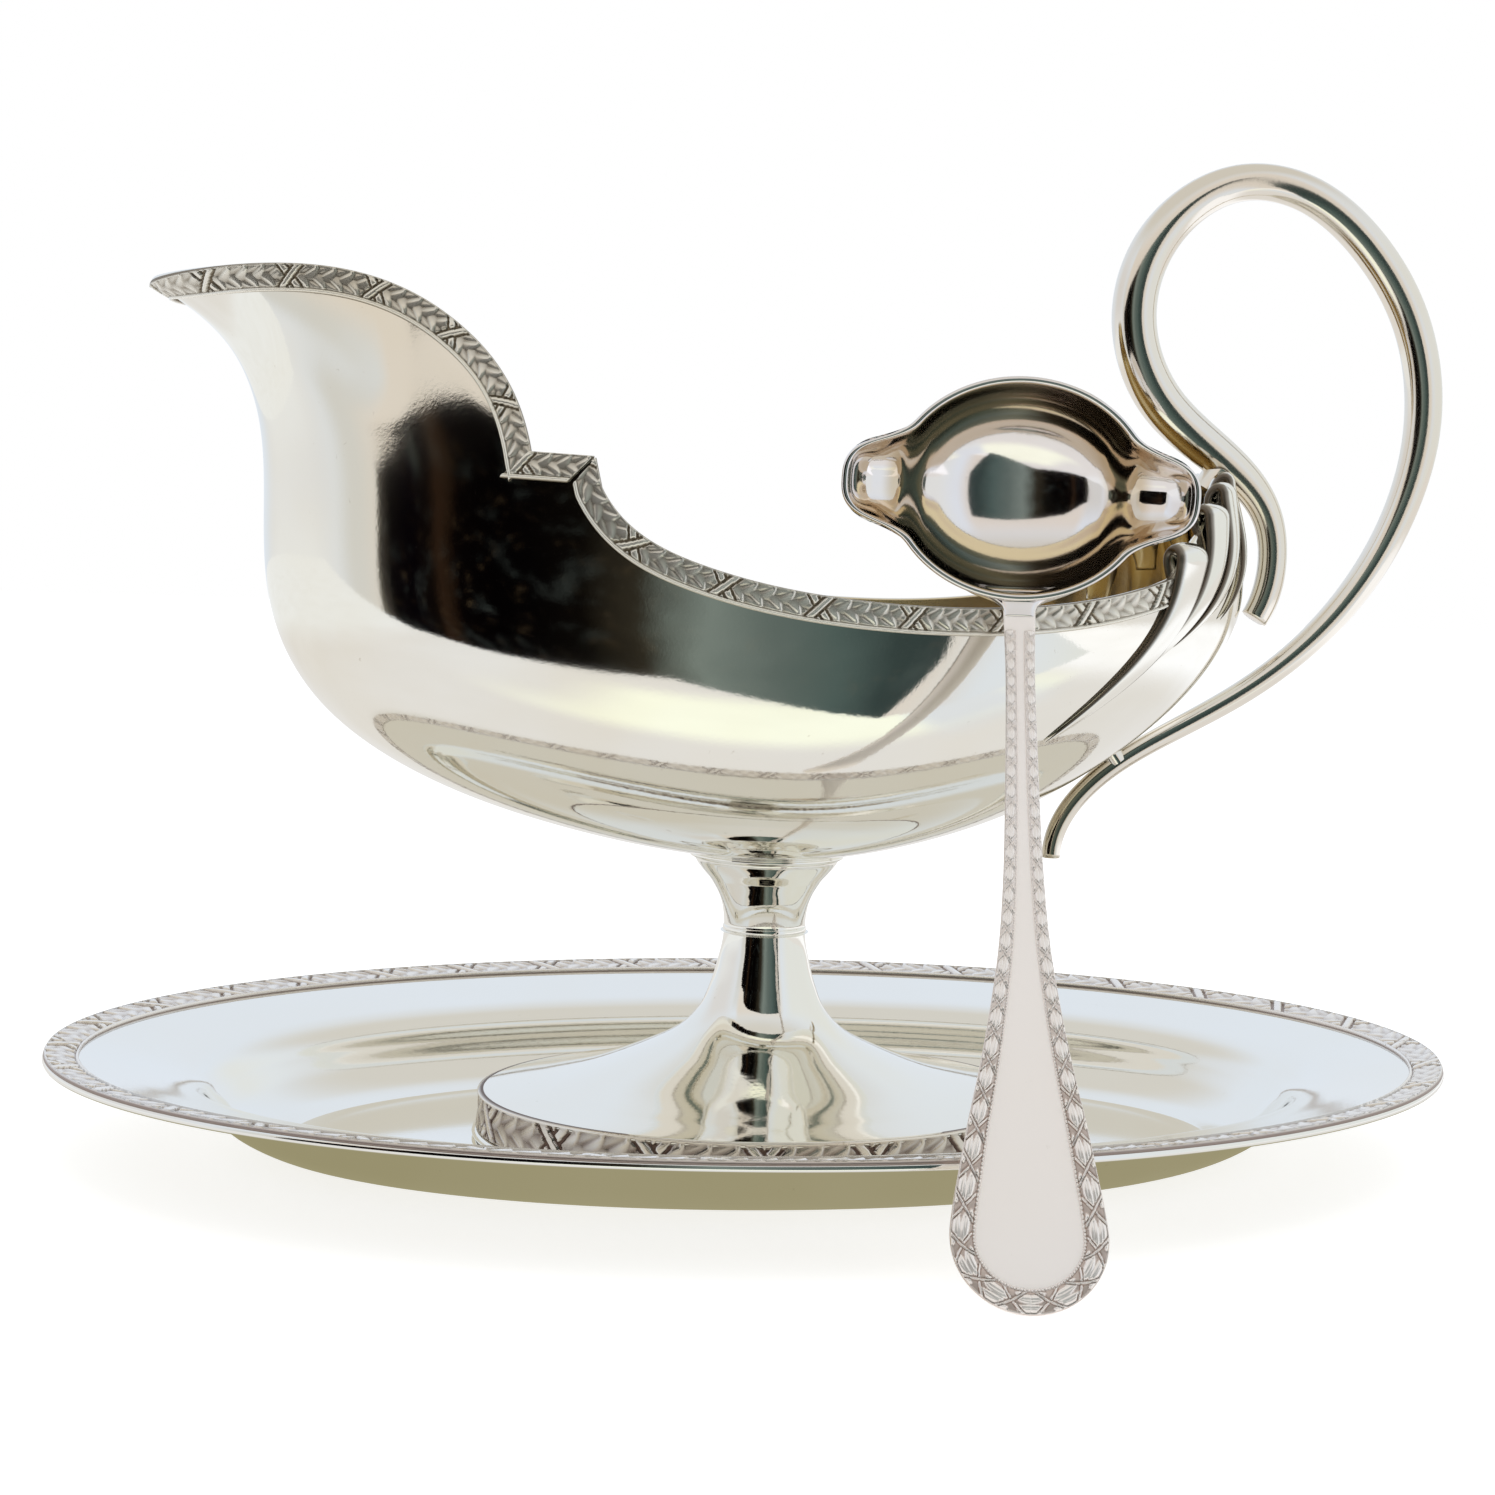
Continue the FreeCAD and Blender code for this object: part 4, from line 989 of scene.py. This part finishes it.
def ladle_cup():
    """Front sheet of the ladle's bowl with its two pouring lips, opening away from the boat."""
    a, bq, dep, LL = 20.3, 17.0, 17.8, 28.0
    nph = 360
    ph = np.linspace(0, 2 * math.pi, nph, endpoint=False)
    fine = np.linspace(0, 34, 2400)
    R = np.zeros(nph)
    for i, p in enumerate(ph):
        l, z = fine * math.cos(p), fine * math.sin(p)
        tip = np.clip(1 - (np.clip(np.abs(l) - 22.5, 0, 9) / 5.6) ** 2.6, 0, 1) ** (1 / 2.6)
        ins = ((l / a) ** 2 + (z / bq) ** 2 < 1) | ((np.abs(l) < LL) & (np.abs(z) < lip_w(l) * tip) & (np.abs(l) > 12))
        R[i] = fine[np.where(ins)[0][-1]]
    k = np.array([1, 2, 3, 4, 3, 2, 1.0]); k /= k.sum()
    for _ in range(2):
        R = sum(kk * np.roll(R, j - 3) for j, kk in enumerate(k))
    rr = np.sin(np.linspace(0, math.pi / 2, 84))[1:]
    l = rr[:, None] * (R * np.cos(ph))[None]
    z = rr[:, None] * (R * np.sin(ph))[None]
    q = 1 - (l / a) ** 2 - (z / bq) ** 2
    # deep bowl with a broad, gently curved bottom
    db = dep * np.clip(q, 0, 1) ** 0.42
    lw = lip_w(l) + 0.05
    dl = lip_d(l) * np.sqrt(np.clip(1 - (z / lw) ** 2, 0, 1)) * smoothstep(9, 15, np.abs(l)) * (1 - 0.25 * smoothstep(24, 28, np.abs(l)))
    e = 1.1
    dd = np.logaddexp(np.logaddexp(db / e, dl / e), 0) * e - math.log(3) * e
    dd = np.maximum(dd, 0) * (1 - rr[:, None] ** 40)
    Pf = LB_C + BX * l[..., None] + BZ * z[..., None] + AW * dd[..., None]
    for _ in range(3):                           # ease the joins between bowl and lips
        Pf[1:-2] = 0.5 * Pf[1:-2] + 0.125 * (Pf[:-3] + Pf[2:-1] + np.roll(Pf, 1, 1)[1:-2] + np.roll(Pf, -1, 1)[1:-2])
    dr = np.gradient(Pf, axis=0)
    dp = np.roll(Pf, -1, 1) - np.roll(Pf, 1, 1)
    N = unit(np.cross(dr, dp))
    N = np.where((N @ AW)[..., None] < 0, -N, N)
    rim_out = unit(Pf[-1] - LB_C - AW * ((Pf[-1] - LB_C) @ AW)[:, None])
    N[-1] = rim_out
    N[-2] = unit(N[-2] + rim_out)
    Po = Pf + N * 1.1
    Po = Po - AW * np.minimum(0, (Po - LB_C) @ AW)[..., None]
    b = Build()
    g = b.grid(Pf, wrap_v=True)
    go = b.grid(Po, wrap_v=True)
    c0 = Pf[0].mean(0)
    b.fan(g[0], b.point(c0), flip=True)
    b.fan(go[0], b.point(c0 + AW * 1.1))
    prev = g[-1]
    cen, half = 0.5 * (Pf[-1] + Po[-1]), 0.5 * (Po[-1] - Pf[-1])
    for th in (35, 70, 110, 145):
        a_ = math.radians(th)
        ring = b.grid((cen - half * math.cos(a_) - AW * 0.42 * math.sin(a_))[None])[0]
        b.bridge(prev, ring, closed=True)
        prev = ring
    b.bridge(prev, go[-1], closed=True)
    ob = make("ladle_cup", np.vstack(b.v), b.f)
    # painted shade: a warm darker ring round the inside of the cup near its rim, strongest towards the top
    warm = np.zeros(b.n)
    n0 = Pf.shape[0] * Pf.shape[1]
    el = (l / a) ** 2 + (z / bq) ** 2
    band = smoothstep(0.50, 0.66, el) * smoothstep(1.25, 1.0, el) * (0.75 + 0.25 * smoothstep(-6, 6, z))
    warm[:n0] = (0.9 * band).ravel()
    at = ob.data.attributes.new("gilt_and_painted_shade", "FLOAT", "POINT")
    at.data.foreach_set("value", warm)
    fix_normals(ob)
    return put(ob, "ladle", "ladle_silver", M_LADLE, "ladle_bowl", "ladle_lip_left", "ladle_lip_right")


ladle_cup()


def build_heel():
    secs = [(LLEN - 1.6, 2.5, 0.30, 2.2), (LLEN - 0.4, 2.65, 0.4, 2.25), (LLEN + 0.8, 3.2, 0.5, 2.4), (LLEN + 1.8, 4.6, 0.4, 2.7),
            (LLEN + 2.7, 6.8, 0.1, 3.1), (LLEN + 3.6, 8.8, -0.5, 3.7), (LLEN + 4.6, 9.8, -1.4, 4.6)]
    c = catmull(secs, 6)
    m = 32
    ang = np.linspace(0, 2 * math.pi, m, endpoint=False)
    rings = []
    for s, w, f, t in c:
        x, y = np.cos(ang), np.sin(ang)
        lat = np.sign(x) * np.abs(x) ** 0.8
        nn = np.where(y > 0, y * (f + 0.2), y * t)
        rings.append(LADLE_A + D * s + np.outer(lat * w, LAT) + np.outer(nn, NRM))
    R = np.array(rings)
    b = Build()
    g = b.grid(R, wrap_v=True)
    b.fan(g[0], b.point(R[0].mean(0)), flip=True)
    b.fan(g[-1], b.point(R[-1].mean(0)))
    return put(b.done("ladle_heel_flare"), "ladle", "ladle_silver", M_LADLE, "ladle_heel")


build_heel()

# CAD nodes that stay as they are
for nd in ("handle_pad_upper", "handle_pad_lower"):
    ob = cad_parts[nd]
    ob.data.materials.clear()
    ob.data.materials.append(M_HANDLE)

# ------------------------------------------------------------------ stage, light and camera
def lin(*c):
    """8-bit display values to linear light."""
    return tuple(((v / 255.0 + 0.055) / 1.055) ** 2.4 if v > 10 else v / 255.0 / 12.92 for v in c)


def seen(*c):
    """Light a surface must give for polished silver to show the display values."""
    return np.array([v / b for v, b in zip(lin(*c), BASE)])


def stage_mesh(name, P, wrap, glow, mat, camera, flip=False):
    """Stage piece from a grid of points (mm) with its light in a colour attribute."""
    nu, nv = P.shape[:2]
    ob = make(name, P.reshape(-1, 3), quads(nu, nv, 0, wrap, flip), smooth=True)
    if glow is not None:
        at = ob.data.color_attributes.new("glow", "FLOAT_COLOR", "POINT")
        g = np.concatenate([glow.reshape(-1, 3), np.ones((nu * nv, 1))], 1)
        at.data.foreach_set("color", g.ravel())
    ob.data.materials.append(mat)
    ob.visible_camera = camera
    return ob


def glow_material(name):
    m = bpy.data.materials.new(name)
    m.use_nodes = True
    m.cycles.emission_sampling = "NONE"
    nt = m.node_tree
    nt.nodes.clear()
    out = nt.nodes.new("ShaderNodeOutputMaterial")
    em = nt.nodes.new("ShaderNodeEmission")
    nt.links.new(em.outputs[0], out.inputs[0])
    return m, nt, em


def tent_light(d):
    """Light of the photographer's tent by direction: az 0 towards the front, positive to the right."""
    az = np.degrees(np.arctan2(d[..., 0], -d[..., 1]))
    el = np.degrees(np.arcsin(np.clip(d[..., 2], -1, 1)))
    c = np.zeros(d.shape) + seen(220, 226, 230)                        # back and top, cool white
    def blend(mask, col):
        nonlocal c
        c = c * (1 - mask[..., None]) + np.asarray(col) * mask[..., None]
    low = smoothstep(52, 22, el)
    blend(smoothstep(-150, -115, az) * smoothstep(-60, -95, az) * low, seen(216, 214, 210))   # left wall
    blend(smoothstep(-150, -115, az) * smoothstep(-66, -90, az) * smoothstep(14, 0, el), seen(230, 231, 228))
    blend(smoothstep(35, 60, az) * smoothstep(165, 130, az) * low, seen(224, 226, 220))      # right wall
    blend(smoothstep(-76, -67, az) * smoothstep(-54, -62, az) * smoothstep(40, 10, el), seen(208, 207, 200))
    blend(smoothstep(-66, -56, az) * smoothstep(40, 26, az) * smoothstep(58, 30, el), seen(219, 211, 198))  # front wall, warm
    blend(smoothstep(35, 60, el), seen(208, 204, 192))
    return c


m_tent, nt, em = glow_material("tent_light")
at = nt.nodes.new("ShaderNodeAttribute"); at.attribute_name = "glow"
tc = nt.nodes.new("ShaderNodeTexCoord")
nz = noise(nt, 1.3, 3, 0.5, tc.outputs["Object"])
col = mixc(nt, ramp(nt, nz.outputs[0], [(0.35, 0.0), (0.7, 0.10)]).outputs[0], at.outputs["Color"], (0.78, 0.76, 0.72))
nt.links.new(col, em.inputs[0])
th = np.radians(np.linspace(-30, 90, 121))
ps = np.radians(np.linspace(0, 360, 361))[:-1]
dirs = np.stack([np.cos(th)[:, None] * np.cos(ps)[None], np.cos(th)[:, None] * np.sin(ps)[None], np.broadcast_to(np.sin(th)[:, None], (121, 360))], -1)
stage_mesh("tent_dome", dirs * 2500.0, True, tent_light(dirs), m_tent, False)


def floor_light(x, y):
    """Light of the cloth on the table, seen in the silver (metres)."""
    c = np.zeros(x.shape + (3,)) + seen(226, 223, 216)
    def blend(mask, col):
        nonlocal c
        c = c * (1 - mask[..., None]) + np.asarray(col) * mask[..., None]
    blend(smoothstep(-0.26, -0.40, x), seen(235, 236, 232))
    blend(smoothstep(0.20, 0.28, x) * smoothstep(0.60, 0.45, x), seen(255, 255, 253) * 1.02)
    blend(smoothstep(-0.20, -0.06, x) * smoothstep(0.26, 0.18, x) * smoothstep(-0.125, -0.155, y) * smoothstep(-0.27, -0.22, y), seen(252, 254, 232))
    blend(smoothstep(0.085, 0.11, x) * smoothstep(-0.10, -0.16, y) * smoothstep(0.22, 0.16, x), seen(222, 226, 228))
    blend(smoothstep(-0.30, -0.24, x) * smoothstep(-0.06, -0.14, x) * smoothstep(-0.12, -0.2, y), seen(228, 226, 220))
    r = np.sqrt((x / 0.125) ** 2 + (y / 0.081) ** 2)
    blend(smoothstep(1.22, 0.98, r), seen(150, 142, 106))                # painted shadow of the plate: olive and darker under its rim
    return c


m_cloth, nt, em = glow_material("cloth_light")
at = nt.nodes.new("ShaderNodeAttribute"); at.attribute_name = "glow"
tc = nt.nodes.new("ShaderNodeTexCoord")
nz = noise(nt, 9.0, 4, 0.55, tc.outputs["Object"])
col = mixc(nt, ramp(nt, nz.outputs[0], [(0.35, 0.0), (0.75, 0.14)]).outputs[0], at.outputs["Color"], (0.62, 0.58, 0.48))
nt.links.new(col, em.inputs[0])
gx = np.concatenate([np.linspace(-2.6, -0.62, 12), np.linspace(-0.6, 0.6, 241), np.linspace(0.62, 2.6, 12)])
front = np.interp(gx, [-2.6, -0.9, -0.33, -0.20, -0.12, -0.062, 0.0, 0.078, 0.30, 0.45, 2.6], [-0.42, -0.30, -0.235, -0.262, -0.285, -0.305, -0.26, -0.19, -0.19, -0.42, -0.42])
gv = np.linspace(0, 1, 150)
X = np.repeat(gx[:, None], 162, 1)
Y = np.concatenate([front[:, None] + (0.3 - front[:, None]) * gv[None], np.repeat(np.linspace(0.35, 2.6, 12)[None], len(gx), 0)], 1)
stage_mesh("floor_seen", np.stack([X, Y, np.full(X.shape, -0.0009)], -1) / MM, False, floor_light(X, Y), m_cloth, False, flip=False)

m_floor, nt, pr_ = nodes_of("floor_white")
tc = nt.nodes.new("ShaderNodeTexCoord")
nz = noise(nt, 3, 2, 0.5, tc.outputs["Object"])
col = mixc(nt, ramp(nt, nz.outputs[0], [(0.3, 0.0), (0.8, 0.15)]).outputs[0], (0.52, 0.52, 0.52), (0.50, 0.50, 0.50))
nt.links.new(col, pr_.inputs["Base Color"])
pr_.inputs["Roughness"].default_value = 0.9
pr_.inputs["Specular IOR Level"].default_value = 0.0
pr_.inputs["Emission Color"].default_value = (1, 1, 1, 1)
pr_.inputs["Emission Strength"].default_value = 0.76
m_floor.cycles.emission_sampling = "NONE"
g6 = np.linspace(-4.0, 4.0, 9)
X, Y = np.meshgrid(g6, g6, indexing="ij")
fl = stage_mesh("floor", np.stack([X, Y, np.full(X.shape, -0.0002)], -1) / MM, False, None, m_floor, True)
fl.visible_glossy = False

# the tent's open front, below its bright upper wall: a dim room with a few warm and teal shapes
m_room, nt, em = glow_material("room_dark")
tc = nt.nodes.new("ShaderNodeTexCoord")
sep = nt.nodes.new("ShaderNodeSeparateXYZ")
nt.links.new(tc.outputs["Object"], sep.inputs[0])
wob = noise(nt, 14.0, 3, 0.6, tc.outputs["Object"])
ad = nt.nodes.new("ShaderNodeMath"); ad.operation = "MULTIPLY_ADD"
nt.links.new(wob.outputs[0], ad.inputs[0]); ad.inputs[1].default_value = 0.05; nt.links.new(sep.outputs[0], ad.inputs[2])
mr = nt.nodes.new("ShaderNodeMapRange")
mr.inputs[1].default_value, mr.inputs[2].default_value = -0.80 + 0.025, 0.30 + 0.025
nt.links.new(ad.outputs[0], mr.inputs[0])
ROOM = [(-0.76, (120, 116, 104)), (-0.70, (52, 48, 42)), (-0.64, (8, 6, 6)), (-0.52, (4, 2, 4)), (-0.46, (12, 8, 6)), (-0.43, (40, 27, 17)), (-0.41, (34, 23, 14)), (-0.38, (5, 3, 3)),
        (-0.30, (3, 2, 2)), (-0.24, (4, 3, 3)), (-0.17, (9, 7, 5)), (-0.11, (44, 40, 31)), (-0.04, (116, 126, 118)), (0.03, (92, 103, 97)),
        (0.10, (76, 91, 86)), (0.17, (52, 64, 61)), (0.24, (50, 60, 58))]
rm = ramp(nt, mr.outputs[0], [((x + 0.80) / 1.10, tuple(float(v) for v in seen(*c))) for x, c in ROOM])
sp = noise(nt, 38.0, 5, 0.7, tc.outputs["Object"], 0.6)
c1 = mixc(nt, ramp(nt, sp.outputs[0], [(0.58, 0.0), (0.72, 0.09)]).outputs[0], rm.outputs[0], (0.42, 0.30, 0.17))
sp2 = noise(nt, 17.0, 4, 0.6, tc.outputs["Object"], 0.3)
c2 = mixc(nt, ramp(nt, sp2.outputs[0], [(0.55, 0.0), (0.75, 0.12)]).outputs[0], c1, (0.20, 0.25, 0.24))
nt.links.new(c2, em.inputs[0])
gu, gv = np.linspace(0, 1, 60), np.linspace(0, 1, 24)
U, Vv = np.meshgrid(gu, gv, indexing="ij")
x0, x1 = -0.77, 0.24
ZT = np.interp(x0 + (x1 - x0) * U, [-0.77, -0.70, -0.60, -0.53, -0.45, -0.39, -0.32, -0.29, 0.24], [0.255, 0.262, 0.272, 0.288, 0.309, 0.328, 0.343, 0.333, 0.335])
ZZ = -0.22 + (ZT + 0.22) * Vv
Xc = x0 + (x1 - x0) * U + 0.05 * smoothstep(0.15, 0.0, U) * Vv + 0.47 * np.minimum(ZZ, 0) * smoothstep(0.85, 1.0, U)
stage_mesh("open_front", np.stack([Xc, np.full(U.shape, -0.42), ZZ], -1) / MM, False, None, m_room, False)

w = bpy.data.worlds.new("studio")
bpy.context.scene.world = w
w.use_nodes = True
w.node_tree.nodes["Background"].inputs[0].default_value = (1.0, 1.0, 1.0, 1)
w.node_tree.nodes["Background"].inputs[1].default_value = 1.0


def area(name, loc, target, size, power, col=(1, 1, 1)):
    l = bpy.data.lights.new(name, "AREA")
    l.energy, l.size, l.color = power, size, col
    o = bpy.data.objects.new(name, l)
    bpy.context.scene.collection.objects.link(o)
    o.location = loc
    o.rotation_euler = (Vector(target) - Vector(loc)).to_track_quat("-Z", "Y").to_euler()
    o.visible_glossy = False
    return o


area("top_soft", (0.1, -0.2, 1.3), (0, 0, 0.05), 1.0, 6.0, (0.96, 0.98, 1.0))

cam = bpy.data.cameras.new("camera")
cam.lens, cam.sensor_width, cam.sensor_fit = 53.27, 36.0, "HORIZONTAL"
cam.clip_start = 0.01
co = bpy.data.objects.new("camera", cam)
bpy.context.scene.collection.objects.link(co)
fwd = Vector((0.1399, 0.9865, -0.0851)).normalized()
r0 = fwd.cross(Vector((0, 0, 1))).normalized()
u0 = r0.cross(fwd)
ra = math.radians(1.74)
right = r0 * math.cos(ra) + u0 * math.sin(ra)
upv = u0 * math.cos(ra) - r0 * math.sin(ra)
mt = Matrix((right, upv, -fwd)).transposed().to_4x4()
mt.translation = Vector((-0.0596, -0.3915, 0.1057))
co.matrix_world = mt
bpy.context.scene.camera = co
bpy.context.scene.view_settings.view_transform = "Standard"
